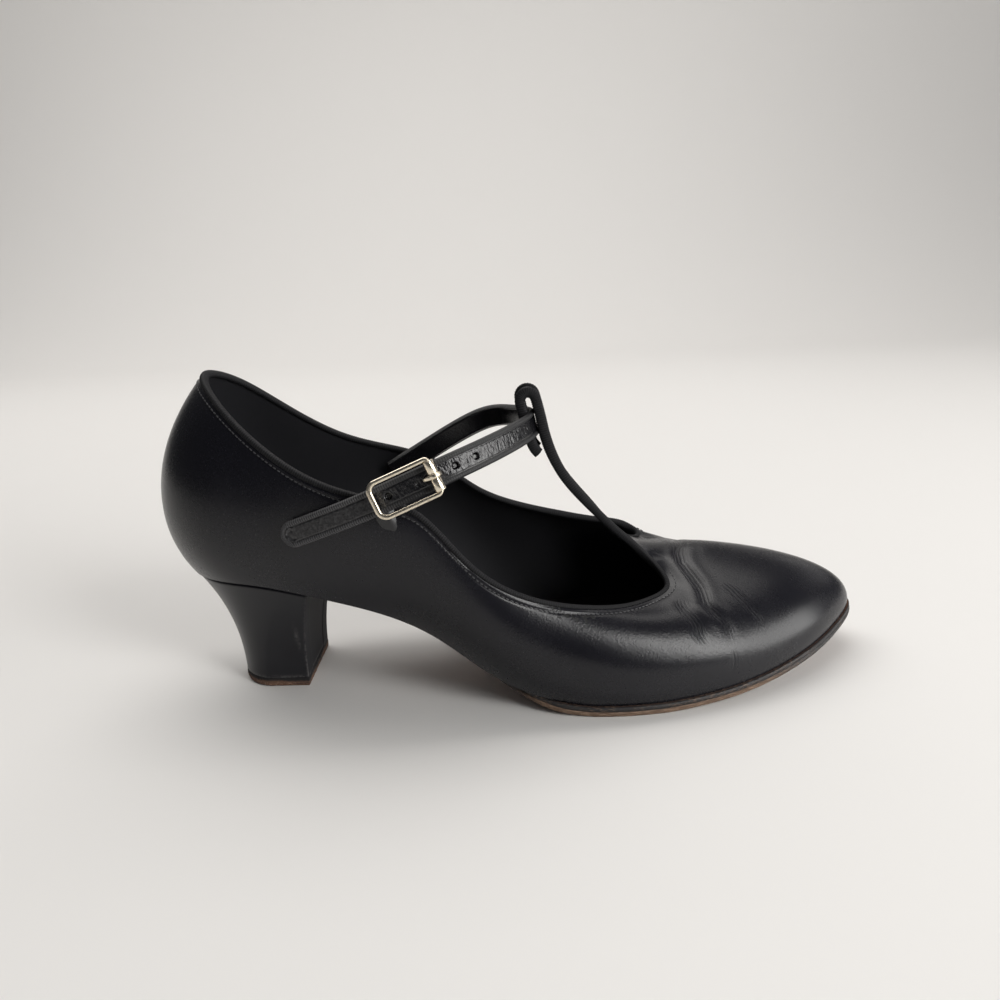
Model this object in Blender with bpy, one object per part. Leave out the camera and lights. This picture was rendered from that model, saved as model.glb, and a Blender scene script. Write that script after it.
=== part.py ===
"""A closed-toe T-strap dance shoe for the right foot, standing empty on the floor at Z = 0.

+X is the toe, -Y the outer (lateral) side of the foot and +Z up. Sizes are millimetres until
they go into a mesh, which is in metres. Along is a percentage of the shoe's length from the
heel, side a percentage of half the ball width, and rise a percentage of the back height.
"""
from collections import namedtuple

import bmesh
import bpy
import numpy as np

MM = 0.001

# Driving sizes
LENGTH = 231.0
HALF_BALL = 38.0
BACK_HEIGHT = 104.0
BOX_CENTRE = (1.46, -0.90)

# Sheet thicknesses and the gap that neighbouring pieces keep
WALL = 1.6
SOLE = 3.0
SOLE_WAIST = 2.0
INSOLE = 2.0
LIFT = 3.0
GAP = 0.3

# Last bottom: one row for each place along its heel seat, arch, flat tread and toe spring
Bottom = namedtuple("Bottom", "name along height")
BOTTOM = (
    Bottom("heel back", 2.0, 39.9),
    Bottom("heel seat", 12.5, 40.7),
    Bottom("breast", 22.0, 37.4),
    Bottom("shank", 34.0, 28.6),
    Bottom("waist", 41.0, 19.9),
    Bottom("waist front", 46.5, 11.6),
    Bottom("ball rear", 52.5, 5.9),
    Bottom("tread start", 59.5, 3.3),
    Bottom("tread end", 69.0, 3.3),
    Bottom("toe rise", 80.5, 5.4),
    Bottom("toe", 91.0, 9.5),
    Bottom("toe tip", 101.0, 15.3),
)
BOTTOM_STEPS = 12

# Upper: one row for each section of the wall, from the heel's back round the lateral side.
# The wall leaves the feather edge outward by out and up by up, and reaches the topline from
# a handle pulled towards the feather by pull, leaned outward by lean and dropped by drop.
Section = namedtuple("Section", "name along side out up top_along top_side top_rise pull lean drop")
SECTIONS = (
    Section("heel back", 3.5, 0, 10.5, 16.0, 9.0, 0, 99.8, 0.0, 21.0, 22.0),
    Section("lateral heel corner", 7.6, -41, 9.0, 16.0, 11.5, -36, 95.0, 0.0, 15.0, 22.0),
    Section("lateral heel side", 14.5, -59, 7.0, 16.0, 16.7, -60, 84.5, 0.0, 6.0, 20.0),
    Section("lateral seat front", 23.2, -66, 6.0, 14.0, 24.0, -75, 73.3, 0.0, 3.0, 14.0),
    Section("lateral quarter", 31.8, -67, 7.0, 12.0, 31.8, -83, 67.3, 0.0, 3.0, 12.0),
    Section("lateral waist", 40.5, -75, 7.0, 12.0, 38.3, -86, 62.0, 0.0, 3.5, 14.0),
    Section("lateral waist front", 48.3, -88, 6.0, 12.0, 44.4, -90, 47.1, 0.0, 4.0, 12.0),
    Section("lateral ball rear", 56.0, -97, 5.0, 10.0, 50.9, -88, 37.0, 0.0, 6.0, 10.0),
    Section("lateral ball", 64.3, -100, 5.0, 10.0, 57.4, -80, 32.0, 0.1, 8.0, 7.0),
    Section("lateral ball front", 73.4, -92, 4.5, 10.0, 63.4, -68, 29.4, 0.2, 8.0, 4.0),
    Section("lateral toe side", 82.0, -75, 4.5, 11.0, 67.8, -50, 28.3, 0.3, 7.0, 0.0),
    Section("lateral throat", 90.3, -47, 4.0, 12.5, 70.0, -32, 29.8, 0.35, 4.0, -2.5),
    Section("lateral toe corner", 96.3, -16, 2.5, 14.5, 70.6, -13, 34.6, 0.38, 2.0, -0.5),
    Section("toe tip", 100.0, 16, 1.0, 15.5, 70.8, 8, 37.8, 0.4, 0.0, 1.8),
    Section("medial toe corner", 98.2, 42, 2.5, 14.5, 70.6, 23, 37.4, 0.38, 2.0, 1.6),
    Section("medial throat", 93.0, 64, 4.0, 13.0, 70.0, 35, 36.2, 0.35, 4.0, 1.0),
    Section("medial toe side", 85.0, 82, 4.5, 12.0, 67.4, 49, 40.2, 0.3, 6.0, 2.0),
    Section("medial ball front", 75.5, 95, 5.0, 12.0, 62.8, 62, 41.2, 0.2, 8.0, 5.0),
    Section("medial ball", 66.0, 98, 5.5, 11.0, 57.0, 71, 43.0, 0.1, 9.0, 9.0),
    Section("medial ball rear", 56.5, 87, 6.5, 11.0, 50.9, 77, 46.0, 0.0, 8.0, 12.0),
    Section("medial waist front", 48.0, 70, 8.0, 12.0, 44.4, 80, 52.0, 0.0, 6.0, 14.0),
    Section("medial waist", 40.0, 58, 9.5, 12.0, 38.3, 81, 62.0, 0.0, 4.0, 15.0),
    Section("medial quarter", 31.8, 57, 9.0, 12.0, 31.8, 79, 68.0, 0.0, 3.5, 12.0),
    Section("medial seat front", 23.2, 62, 7.0, 14.0, 24.0, 72, 74.0, 0.0, 3.0, 14.0),
    Section("medial heel side", 14.5, 59, 7.0, 16.0, 16.7, 59, 85.0, 0.0, 6.0, 20.0),
    Section("medial heel corner", 7.6, 41, 9.0, 16.0, 11.5, 36, 95.5, 0.0, 15.0, 22.0),
)
COLUMNS_PER_SECTION = 3
WALL_LEVELS = 8
MARGIN = 9.0
MITRE_LIMIT = 0.75

# T-bar: one row for each place on its centre line, from the throat to the top of the loop.
# A positive twist turns its front face towards the medial side.
Bar = namedtuple("Bar", "name along side rise half_width arch twist")
BAR = (
    Bar("throat", 70.8, 8, 37.8, 13.0, 0.040, 0.0),
    Bar("root", 66.5, 6, 41.4, 6.5, 0.020, 14.0),
    Bar("low instep", 62.1, 4, 51.2, 5.8, 0.004, 6.0),
    Bar("mid instep", 57.4, 2, 64.0, 5.4, 0.0, 4.0),
    Bar("high instep", 55.2, 1, 75.5, 5.2, 0.0, 2.0),
    Bar("loop foot", 54.6, 0, 82.0, 5.2, 0.0, 0.0),
    Bar("loop head", 53.9, 0, 88.6, 5.2, 0.0, 0.0),
)
BAR_STEPS = 4
BAR_BLEND = 13.0
LOOP_HOLE = 4.6
LOOP_DROP = 13.0
LOOP_LEAN = 0.8
LOOP_TAIL = 4.0
FOLD_STEPS = 8

# Ribbon folded over the topline and the edges of the T-bar
BINDING = 0.4
BINDING_LIP = 1.0
BINDING_GAP = 0.70

# Heel and lift
BREAST = 22.0
HEEL_FOOT_BACK = -95.0
HEEL_FOOT_FRONT = -70.4
HEEL_FOOT_HALF = 14.2
HEEL_FOOT_STRAIGHT = 0.75
HEEL_LEVELS = 7
HEEL_ARC_STEPS = 20
HEEL_POWERS = {"back": 2.3, "front": 2.0, "half": 1.8}
HEEL_INSET = 0.6

# Outsole: how far its edge stands out past the feather line, by place along the shoe
EDGE_FOREFOOT = 1.0
EDGE_WAIST = -7.0
EDGE_WAIST_END = 42.0
EDGE_FOREFOOT_START = 56.0
ACROSS_STEPS = 6
ARCH_STEPS = 14
TOE_STEPS = 10
INSOLE_STEPS = 32

# Ankle strap: one row for each place on its route, with the direction its face looks
STRAP_WIDTH = 8.0
STRAP = 1.8
STRAP_STEPS = 4
STRAP_END_STEPS = 5
STRAP_BLUNT = 0.25
Route = namedtuple("Route", "name along side rise face_x face_y face_z")
STRAP_ROUTE = (
    Route("rounded end", 20.9, -84, 56.6, -0.10, -0.98, 0.12),
    Route("lateral quarter", 27.0, -91, 61.7, -0.03, -0.98, 0.14),
    Route("buckle end", 33.0, -96, 67.0, 0.02, -0.97, 0.16),
    Route("buckle bar", 40.4, -93, 73.6, 0.20, -0.93, 0.20),
    Route("lateral ankle", 45.8, -75, 77.2, 0.55, -0.75, 0.24),
    Route("lateral instep", 50.6, -43, 79.6, 0.80, -0.48, 0.27),
    Route("loop", 53.2, 0, 80.6, 0.976, 0.0, 0.214),
    Route("medial instep", 50.6, 43, 79.6, 0.80, 0.48, 0.27),
    Route("medial ankle", 45.8, 66, 77.3, 0.55, 0.75, 0.24),
    Route("medial topline", 38.5, 69, 69.0, 0.20, 0.95, 0.18),
    Route("medial quarter", 31.5, 69, 60.0, 0.02, 0.97, 0.10),
)

# Buckle: a frame of round wire with a roller on the straight end, a prong and a leather chape
BUCKLE_PLACE = 0.55
BUCKLE_LENGTH = 20.0
BUCKLE_WIDTH = 12.0
BUCKLE_WIRE = 1.7
BUCKLE_CORNERS = {"round": 2.6, "straight": 1.0}
BUCKLE_CORNER_STEPS = 4
ROLLER_WALL = 0.4
ROLLER_LENGTH = 8.6
RIM_SIDES = 10
PRONG_WIDTH = 1.5
PRONG_THICKNESS = 0.8
PRONG_REACH = 5.0
CHAPE = 0.8
CHAPE_SECTIONS = (4.20, 4.62)
CHAPE_LEVELS = (0.72, 1.0)
CHAPE_LIFT = (0.3, 1.2)
CHAPE_STEPS = 6
GOLD = (0.72, 0.63, 0.47)


# Shared curve and mesh helpers

def spline(rows, at, closed=False):
    """Cubic curve through evenly counted rows, read at the given row numbers."""
    rows = np.asarray(rows, float)
    count = len(rows)
    nodes = np.arange(count)
    system = 4.0 * np.eye(count)
    system[nodes, (nodes + 1) % count] += 1.0
    system[nodes, (nodes - 1) % count] += 1.0
    right = 3.0 * (np.roll(rows, -1, axis=0) - np.roll(rows, 1, axis=0))
    if not closed:
        system[0] = 0.0
        system[-1] = 0.0
        system[0, :2] = (2.0, 1.0)
        system[-1, -2:] = (1.0, 2.0)
        right[0] = 3.0 * (rows[1] - rows[0])
        right[-1] = 3.0 * (rows[-1] - rows[-2])
    slope = np.linalg.solve(system, right)
    at = np.asarray(at, float)
    low = np.floor(at).astype(int)
    if not closed:
        low = np.clip(low, 0, count - 2)
    t = (at - low)[:, None]
    first, last = low % count, (low + 1) % count
    return ((2 * t**3 - 3 * t**2 + 1) * rows[first] + (t**3 - 2 * t**2 + t) * slope[first]
            + (3 * t**2 - 2 * t**3) * rows[last] + (t**3 - t**2) * slope[last])


def smooth(t):
    """Soft step from 0 to 1."""
    t = np.clip(t, 0.0, 1.0)
    return t * t * (3.0 - 2.0 * t)


def unit(vectors):
    """Vectors of length one."""
    vectors = np.asarray(vectors, float)
    return vectors / np.maximum(np.linalg.norm(vectors, axis=-1, keepdims=True), 1e-9)


def along_x(along):
    """Place along the shoe in millimetres from its middle."""
    return (np.asarray(along, float) / 100.0 - 0.5) * LENGTH


def side_y(side):
    """Place across the shoe in millimetres."""
    return np.asarray(side, float) / 100.0 * HALF_BALL


def rise_z(rise):
    """Height above the floor in millimetres."""
    return np.asarray(rise, float) / 100.0 * BACK_HEIGHT


def bottom_height(x):
    """Height of the last's bottom at places along X, never under the flat tread."""
    rows = np.array([row[1:] for row in BOTTOM], float)
    along, height = spline(rows, np.arange((len(rows) - 1) * BOTTOM_STEPS + 1) / BOTTOM_STEPS).T
    return np.maximum(np.interp(x, along_x(along), height), tread("tread start").height)


def tread(name):
    """The named row of the last's bottom."""
    return next(row for row in BOTTOM if row.name == name)


def grid_faces(rows, columns, first=0, closed=False):
    """Quads of a grid of vertices numbered row by row."""
    faces = []
    for row in range(rows - 1):
        for column in range(columns if closed else columns - 1):
            nearby = (column + 1) % columns
            low = first + row * columns
            faces.append((low + column, low + nearby, low + columns + nearby, low + columns + column))
    return faces


def mesh_object(name, points, faces, color, roughness, metallic=0.0, angle=35.0):
    """One named solid in its own material, welded and facing outward, under the shoe's empty."""
    mesh = bpy.data.meshes.new(name)
    mesh.from_pydata((np.asarray(points, float) * MM).tolist(), [], [list(face) for face in faces])
    work = bmesh.new()
    work.from_mesh(mesh)
    bmesh.ops.remove_doubles(work, verts=work.verts, dist=0.00001)
    bmesh.ops.triangulate(work, faces=work.faces)
    bmesh.ops.recalc_face_normals(work, faces=work.faces)
    work.to_mesh(mesh)
    work.free()
    mesh.shade_smooth()
    mesh.set_sharp_from_angle(angle=np.radians(angle))
    item = bpy.data.objects.new(name, mesh)
    material = bpy.data.materials.new(name)
    material.use_nodes = True
    shader = material.node_tree.nodes["Principled BSDF"]
    shader.inputs["Base Color"].default_value = (*color, 1.0)
    shader.inputs["Roughness"].default_value = roughness
    shader.inputs["Metallic"].default_value = metallic
    mesh.materials.append(material)
    bpy.context.collection.objects.link(item)
    item.parent = bpy.data.objects["shoe"]
    return item


def sheet_normals(points, faces):
    """Outward direction at each vertex of a sheet of quads, lengthened where the sheet bends sharply."""
    faces = np.asarray(faces)
    corners = points[faces]
    face_normals = np.cross(corners[:, 2] - corners[:, 0], corners[:, 3] - corners[:, 1])
    total = np.zeros_like(points)
    flat = np.zeros_like(points)
    for corner in range(4):
        np.add.at(total, faces[:, corner], face_normals)
        np.add.at(flat, faces[:, corner], unit(face_normals))
    count = np.bincount(faces.ravel(), minlength=len(points))[:, None]
    direction = unit(total)
    spread = np.sum(flat / count * direction, axis=1, keepdims=True)
    return direction / np.maximum(spread, MITRE_LIMIT)


def thicken(points, faces, thickness):
    """Solid from a sheet of outer quads: its inner copy, and walls along every open edge."""
    points = np.asarray(points, float)
    inner = points - thickness * sheet_normals(points, faces)
    count = len(points)
    solid = [tuple(face) for face in faces]
    solid += [tuple(corner + count for corner in reversed(face)) for face in faces]
    used = {(here, there) for face in faces for here, there in zip(face, face[1:] + face[:1])}
    for here, there in sorted(used):
        if (there, here) not in used:
            solid.append((there, here, here + count, there + count))
    return np.concatenate([points, inner]), solid


def sweep(rings, closed=False):
    """Solid through rings of points, with flat ends unless it closes on itself."""
    rings = np.asarray(rings, float)
    count, sides = rings.shape[:2]
    faces = grid_faces(count, sides, closed=True)
    if closed:
        last = (count - 1) * sides
        for side in range(sides):
            nearby = (side + 1) % sides
            faces.append((last + side, last + nearby, nearby, side))
    else:
        faces.append(tuple(range(sides)))
        faces.append(tuple((count - 1) * sides + side for side in reversed(range(sides))))
    return rings.reshape(-1, 3), faces


# The upper's own function

def section_curves(at):
    """Feather edge, lower handle, upper handle and topline of the wall at section numbers."""
    rows = np.array([row[1:] for row in SECTIONS], float)
    values = spline(rows, at, closed=True)
    along, side, out, up, top_along, top_side, top_rise, pull, lean, drop = values.T
    feather = np.stack([along_x(along), side_y(side), bottom_height(along_x(along))], axis=1)
    ahead = spline(rows[:, :2], np.asarray(at) + 0.02, closed=True)
    behind = spline(rows[:, :2], np.asarray(at) - 0.02, closed=True)
    run_x = along_x(ahead[:, 0]) - along_x(behind[:, 0])
    run_y = side_y(ahead[:, 1]) - side_y(behind[:, 1])
    outward = unit(np.stack([run_y, -run_x, np.zeros_like(run_x)], axis=1))
    top = np.stack([along_x(top_along), side_y(top_side), rise_z(top_rise)], axis=1)
    upward = np.array([0.0, 0.0, 1.0])
    lower = feather + outward * out[:, None] + upward * up[:, None]
    upper = top + (feather - top) * pull[:, None] * (1.0, 1.0, 0.0)
    upper = upper + outward * lean[:, None] - upward * drop[:, None]
    return feather, lower, upper, top, outward


def wall_grid(at, levels):
    """Points of the upper's outer face, level by level from the feather edge to the topline."""
    feather, lower, upper, top, _ = section_curves(at)
    t = np.asarray(levels, float)[:, None, None]
    return (1 - t)**3 * feather + 3 * (1 - t)**2 * t * lower + 3 * (1 - t) * t**2 * upper + t**3 * top


def bar_grid(root):
    """Outer face of the T-bar and its rolled loop, starting from the throat's own row."""
    rows = np.array([row[1:] for row in BAR], float)
    at = np.arange((len(BAR) - 1) * BAR_STEPS + 1) / BAR_STEPS
    along, side, rise, half, arch, twist = spline(rows, at).T
    centre = np.stack([along_x(along), side_y(side), rise_z(rise)], axis=1)
    up = unit(np.gradient(centre, axis=0))
    front = unit(np.cross((0.0, 1.0, 0.0), up))
    turn = np.radians(twist)[:, None]
    across = np.cos(turn) * np.cross(up, front) - np.sin(turn) * front
    front = np.cross(across, up)
    share = np.linspace(-1.0, 1.0, len(root))
    reach = share * half[:, None]
    grid = centre[:, None] + across[:, None] * reach[..., None]
    grid = grid - front[:, None] * (arch[:, None] * reach**2)[..., None]
    travelled = np.concatenate([[0.0], np.cumsum(np.linalg.norm(np.diff(centre, axis=0), axis=1))])
    fade = 1.0 - smooth(travelled / BAR_BLEND)
    grid = grid + fade[:, None, None] * (root - grid[0])
    radius = WALL + LOOP_HOLE / 2.0
    hub = centre[-1] - radius * front[-1]
    angles = np.linspace(0.0, np.pi, FOLD_STEPS + 1)[1:, None]
    roll = hub + radius * (np.cos(angles) * front[-1] + np.sin(angles) * up[-1])
    foot = roll[-1] - LOOP_DROP * up[-1] + LOOP_LEAN * front[-1]
    tail = foot - LOOP_TAIL * up[-1] + (LOOP_HOLE - LOOP_LEAN - 2.0 * BINDING_GAP - BINDING) * front[-1]
    path = np.vstack([roll, foot, tail])
    loop = path[:, None] + across[-1] * reach[-1][:, None]
    return np.concatenate([grid, loop])


def margin_row(at):
    """Inner edge of the margin that the upper turns under the insole."""
    feather, _, _, _, outward = section_curves(at)
    inner = feather - MARGIN * outward
    inner[:, 2] = bottom_height(inner[:, 0])
    return inner


def upper_sheet():
    """Outer quads of margin, vamp, quarters and T-bar, and the open edge that carries the binding."""
    names = [row.name for row in SECTIONS]
    columns = len(SECTIONS) * COLUMNS_PER_SECTION
    at = np.arange(columns) / COLUMNS_PER_SECTION
    wall = wall_grid(at, np.linspace(0.0, 1.0, WALL_LEVELS + 1))
    first = names.index("lateral throat") * COLUMNS_PER_SECTION
    last = names.index("medial throat") * COLUMNS_PER_SECTION
    width = last - first + 1
    bar = bar_grid(wall[-1, first:last + 1])
    rows = np.concatenate([margin_row(at)[None], wall])
    points = np.concatenate([rows.reshape(-1, 3), bar[1:].reshape(-1, 3)])
    faces = grid_faces(len(rows), columns, closed=True)
    top = (len(rows) - 1) * columns
    number = np.vstack([np.arange(top + first, top + last + 1),
                        top + columns + np.arange((len(bar) - 1) * width).reshape(-1, width)]).tolist()
    for low, high in zip(number[:-1], number[1:]):
        for column in range(width - 1):
            faces.append((low[column], low[column + 1], high[column + 1], high[column]))
    bound = (len(BAR) - 1) * BAR_STEPS
    inside = {top + column: top + column - columns for column in range(columns)}
    for row in number[1:bound + 1]:
        inside[row[0]] = row[1]
        inside[row[-1]] = row[-2]
    round_back = [top + (first - step) % columns for step in range(columns - width + 2)]
    edge = [row[0] for row in number[bound:0:-1]] + round_back + [row[-1] for row in number[1:bound + 1]]
    return points, faces, edge, [inside[corner] for corner in edge]


def build_upper():
    """The hollow upper in smooth black leather."""
    points, faces, _, _ = upper_sheet()
    solid, skin = thicken(points, faces, WALL)
    mesh_object("upper", solid, skin, (0.012, 0.012, 0.014), 0.38, angle=50.0)


def build_binding():
    """The folded ribbon: a channel over the topline and both edges of the T-bar."""
    points, faces, edge, inside = upper_sheet()
    place = points[edge]
    normals = sheet_normals(points, faces)
    across = normals[edge]
    run = unit(np.gradient(place, axis=0))
    inward = points[inside] - place
    reach = BINDING_LIP / np.linalg.norm(inward, axis=1, keepdims=True)
    lip = place + inward * reach
    lip_across = across + (normals[inside] - across) * reach
    for direction in (run, unit(across)):
        inward = inward - direction * np.sum(inward * direction, axis=1, keepdims=True)
    inward = unit(inward)
    near, far = BINDING_GAP, BINDING_GAP + BINDING
    rings = np.stack([lip + lip_across * far, place + across * far - inward * far,
                      place - across * (WALL + far) - inward * far, lip - lip_across * (WALL + far),
                      lip - lip_across * (WALL + near), place - across * (WALL + near) - inward * near,
                      place + across * near - inward * near, lip + lip_across * near], axis=1)
    solid, skin = sweep(rings)
    mesh_object("topline_binding", solid, skin, (0.010, 0.010, 0.011), 0.72)


# Sole, insole, heel and lift

def edge_offset(x):
    """How far the outsole's edge stands out past the feather line."""
    start, end = along_x((EDGE_WAIST_END, EDGE_FOREFOOT_START))
    return EDGE_WAIST + (EDGE_FOREFOOT - EDGE_WAIST) * smooth((x - start) / (end - start))


def half_outline(lateral):
    """Feather line of one side, from the heel's back to the toe tip, with its outward direction."""
    tip = [row.name for row in SECTIONS].index("toe tip")
    steps = tip * COLUMNS_PER_SECTION
    share = np.linspace(0.0, 1.0, steps + 1)
    at = share * tip if lateral else len(SECTIONS) - share * (len(SECTIONS) - tip)
    feather, _, _, _, outward = section_curves(at)
    return feather, outward


def plate(lateral_edge, medial_edge, top_offset, bottom_offset):
    """Solid plate between two side edges, its faces set off the last's bottom row by row."""
    share = np.linspace(0.0, 1.0, ACROSS_STEPS + 1)[None, :, None]
    plan = lateral_edge[:, None, :] * (1 - share) + medial_edge[:, None, :] * share
    base = bottom_height(plan[..., 0])
    slope = bottom_height(plan[..., 0] + 0.5) - bottom_height(plan[..., 0] - 0.5)
    steep = np.sqrt(1.0 + slope**2)
    rows, columns = base.shape
    top = np.dstack([plan, base + steep * np.broadcast_to(top_offset, rows)[:, None]])
    bottom = np.dstack([plan, base + steep * np.broadcast_to(bottom_offset, rows)[:, None]])
    lower = rows * columns
    faces = grid_faces(rows, columns)
    faces += [tuple(corner + lower for corner in reversed(face)) for face in grid_faces(rows, columns)]
    number = np.arange(lower).reshape(rows, columns)
    rim = np.concatenate([number[:, 0], number[-1, 1:], number[-2::-1, -1], number[0, -2:0:-1]]).tolist()
    for here, there in zip(rim, rim[1:] + rim[:1]):
        faces.append((there, here, here + lower, there + lower))
    return np.concatenate([top.reshape(-1, 3), bottom.reshape(-1, 3)]), faces


def side_edges(offset):
    """Both sides of the feather line, set outward by a function of the place along X."""
    edges = []
    for lateral in (True, False):
        feather, outward = half_outline(lateral)
        edges.append((feather + outward * offset(feather[:, 0])[:, None])[:, :2])
    return edges


def resampled(edge, places):
    """A side edge read at given places along X."""
    order = np.argsort(edge[:, 0])
    return np.stack([places, np.interp(places, edge[order, 0], edge[order, 1])], axis=1)


def build_outsole():
    """Thin leather sole from the heel breast to the toe, flat at the tread."""
    lateral, medial = side_edges(edge_offset)
    start = along_x(BREAST) + GAP
    tip = min(lateral[-1, 0], medial[-1, 0])
    rear, front = along_x((tread("tread start").along, tread("tread end").along))
    turn = np.linspace(0.0, np.pi / 2.0, TOE_STEPS + 1)[1:]
    places = np.concatenate([np.linspace(start, rear, ARCH_STEPS + 1), np.linspace(rear, front, 5)[1:],
                             front + (tip - front) * np.sin(turn)])
    waist = smooth((along_x(EDGE_FOREFOOT_START) - places) / (along_x(EDGE_FOREFOOT_START) - start))
    under = -GAP - SOLE + (SOLE - SOLE_WAIST) * waist
    solid, skin = plate(resampled(lateral, places), resampled(medial, places), -GAP, under)
    mesh_object("outsole", solid, skin, (0.16, 0.075, 0.04), 0.75)


def build_insole():
    """The sock on the upper's turned margin, inside the wall."""
    lateral, medial = side_edges(lambda x: np.full_like(x, -WALL - 3.0 * GAP))
    back = max(lateral[0, 0], medial[0, 0])
    tip = min(lateral[-1, 0], medial[-1, 0]) - 2.0 * GAP
    turn = np.linspace(0.0, np.pi, INSOLE_STEPS + 1)
    places = (back + tip) / 2.0 - (tip - back) / 2.0 * np.cos(turn)
    under = WALL + GAP
    solid, skin = plate(resampled(lateral, places), resampled(medial, places), under + INSOLE, under)
    mesh_object("insole", solid, skin, (0.02, 0.018, 0.018), 0.8)


def heel_ring(share):
    """One D-shaped level of the heel, from its foot at 0 to the seat at 1."""
    turn = np.linspace(0.0, 1.0, HEEL_ARC_STEPS + 1)
    arc = np.pi * (turn - 0.5)
    middle = HEEL_FOOT_FRONT - HEEL_FOOT_HALF * HEEL_FOOT_STRAIGHT
    foot_x = middle - (middle - HEEL_FOOT_BACK) * np.cos(arc)
    foot_x[[0, -1]] = HEEL_FOOT_FRONT
    foot_y = HEEL_FOOT_HALF * np.sin(arc)
    lateral, medial = side_edges(lambda x: np.full_like(x, -HEEL_INSET))
    breast = np.array([along_x(BREAST)])
    rear = np.concatenate([resampled(lateral, breast), lateral[lateral[:, 0] < breast][::-1],
                           medial[medial[:, 0] < breast][1:], resampled(medial, breast)])
    steps = np.concatenate([[0.0], np.cumsum(np.linalg.norm(np.diff(rear, axis=0), axis=1))])
    seat_x = np.interp(turn, steps / steps[-1], rear[:, 0])
    seat_y = np.interp(turn, steps / steps[-1], rear[:, 1])
    power = HEEL_POWERS["front"] + (HEEL_POWERS["back"] - HEEL_POWERS["front"]) * np.cos(arc)
    x = foot_x + (seat_x - foot_x) * share**power
    y = foot_y + (seat_y - foot_y) * share**HEEL_POWERS["half"]
    foot = LIFT + GAP
    z = foot + (bottom_height(seat_x) - GAP - foot) * share
    return np.stack([x, y, z], axis=1)


def build_heel():
    """The covered block between seat and lift, hollow at the back and flat at the breast."""
    rings = [heel_ring(share) for share in np.linspace(0.0, 1.0, HEEL_LEVELS + 1)]
    solid, skin = sweep(rings)
    mesh_object("heel", solid, skin, (0.013, 0.013, 0.015), 0.35, angle=40.0)


def build_heel_lift():
    """The leather top piece under the heel."""
    ring = heel_ring(0.0)
    low, high = ring.copy(), ring.copy()
    low[:, 2] = 0.0
    high[:, 2] = LIFT
    solid, skin = sweep([low, high])
    mesh_object("heel_lift", solid, skin, (0.20, 0.10, 0.055), 0.85)


# Ankle strap and buckle

def strap_frame(at):
    """Centre, run, width and face directions of the ankle strap at row numbers."""
    rows = np.array([row[1:] for row in STRAP_ROUTE], float)
    values = spline(rows, at)
    centre = np.stack([along_x(values[:, 0]), side_y(values[:, 1]), rise_z(values[:, 2])], axis=1)
    ahead = spline(rows, np.asarray(at) + 0.02)
    behind = spline(rows, np.asarray(at) - 0.02)
    run = np.stack([along_x(ahead[:, 0]) - along_x(behind[:, 0]), side_y(ahead[:, 1] - behind[:, 1]),
                    rise_z(ahead[:, 2] - behind[:, 2])], axis=1)
    run = unit(run)
    face = values[:, 3:6]
    face = unit(face - run * np.sum(face * run, axis=1, keepdims=True))
    return centre, run, np.cross(face, run), face


def build_ankle_strap():
    """The strap from its rounded end through buckle and loop to the medial quarter."""
    first = STRAP_WIDTH / 2.0 / np.linalg.norm(np.diff(strap_frame([0.0, 1.0])[0], axis=0))
    turn = np.linspace(0.0, np.pi / 2.0, STRAP_END_STEPS + 1)
    rest = np.arange(1.0, (len(STRAP_ROUTE) - 1) * STRAP_STEPS + 0.5) / STRAP_STEPS
    at = np.concatenate([first * (1.0 - np.cos(turn)), rest])
    half = np.full(len(at), STRAP_WIDTH / 2.0)
    half[:len(turn)] *= np.maximum(np.sin(turn), STRAP_BLUNT)
    centre, _, width, face = strap_frame(at)
    outline = ((-1, -1), (0, -1), (1, -1), (1, 1), (0, 1), (-1, 1))
    rings = np.stack([centre + width * (half * side)[:, None] + face * STRAP / 2.0 * out
                      for side, out in outline], axis=1)
    solid, skin = sweep(rings)
    mesh_object("ankle_strap", solid, skin, (0.012, 0.012, 0.013), 0.45)


def buckle_axes():
    """Middle of the buckle over the strap's face, with its length, width and face directions."""
    row = [route.name for route in STRAP_ROUTE].index("buckle end")
    centre, run, width, face = strap_frame([row + BUCKLE_PLACE])
    lift = STRAP / 2.0 + GAP + BUCKLE_WIRE / 2.0 + GAP + ROLLER_WALL
    return centre[0] + face[0] * lift, run[0], width[0], face[0]


def round_ring(place, radius, first, second):
    """Ring of points round a place, in the plane of two directions."""
    turn = np.arange(RIM_SIDES) * 2.0 * np.pi / RIM_SIDES
    return place + radius * (np.cos(turn)[:, None] * first + np.sin(turn)[:, None] * second)


def build_buckle_frame():
    """Rectangle of round wire on the strap, well rounded at one end and straight at the other."""
    middle, run, width, face = buckle_axes()
    half_long = (BUCKLE_LENGTH - BUCKLE_WIRE) / 2.0
    half_wide = (BUCKLE_WIDTH - BUCKLE_WIRE) / 2.0
    rings = []
    for quarter, (along, across) in enumerate(((1, 1), (-1, 1), (-1, -1), (1, -1))):
        corner = BUCKLE_CORNERS["straight" if along > 0 else "round"]
        hub = middle + along * (half_long - corner) * run + across * (half_wide - corner) * width
        for step in range(BUCKLE_CORNER_STEPS + 1):
            turn = np.pi / 2.0 * (quarter + step / BUCKLE_CORNER_STEPS)
            out = np.cos(turn) * run + np.sin(turn) * width
            rings.append(round_ring(hub + corner * out, BUCKLE_WIRE / 2.0, out, face))
    solid, skin = sweep(rings, closed=True)
    mesh_object("buckle_frame", solid, skin, GOLD, 0.25, metallic=1.0)


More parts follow.
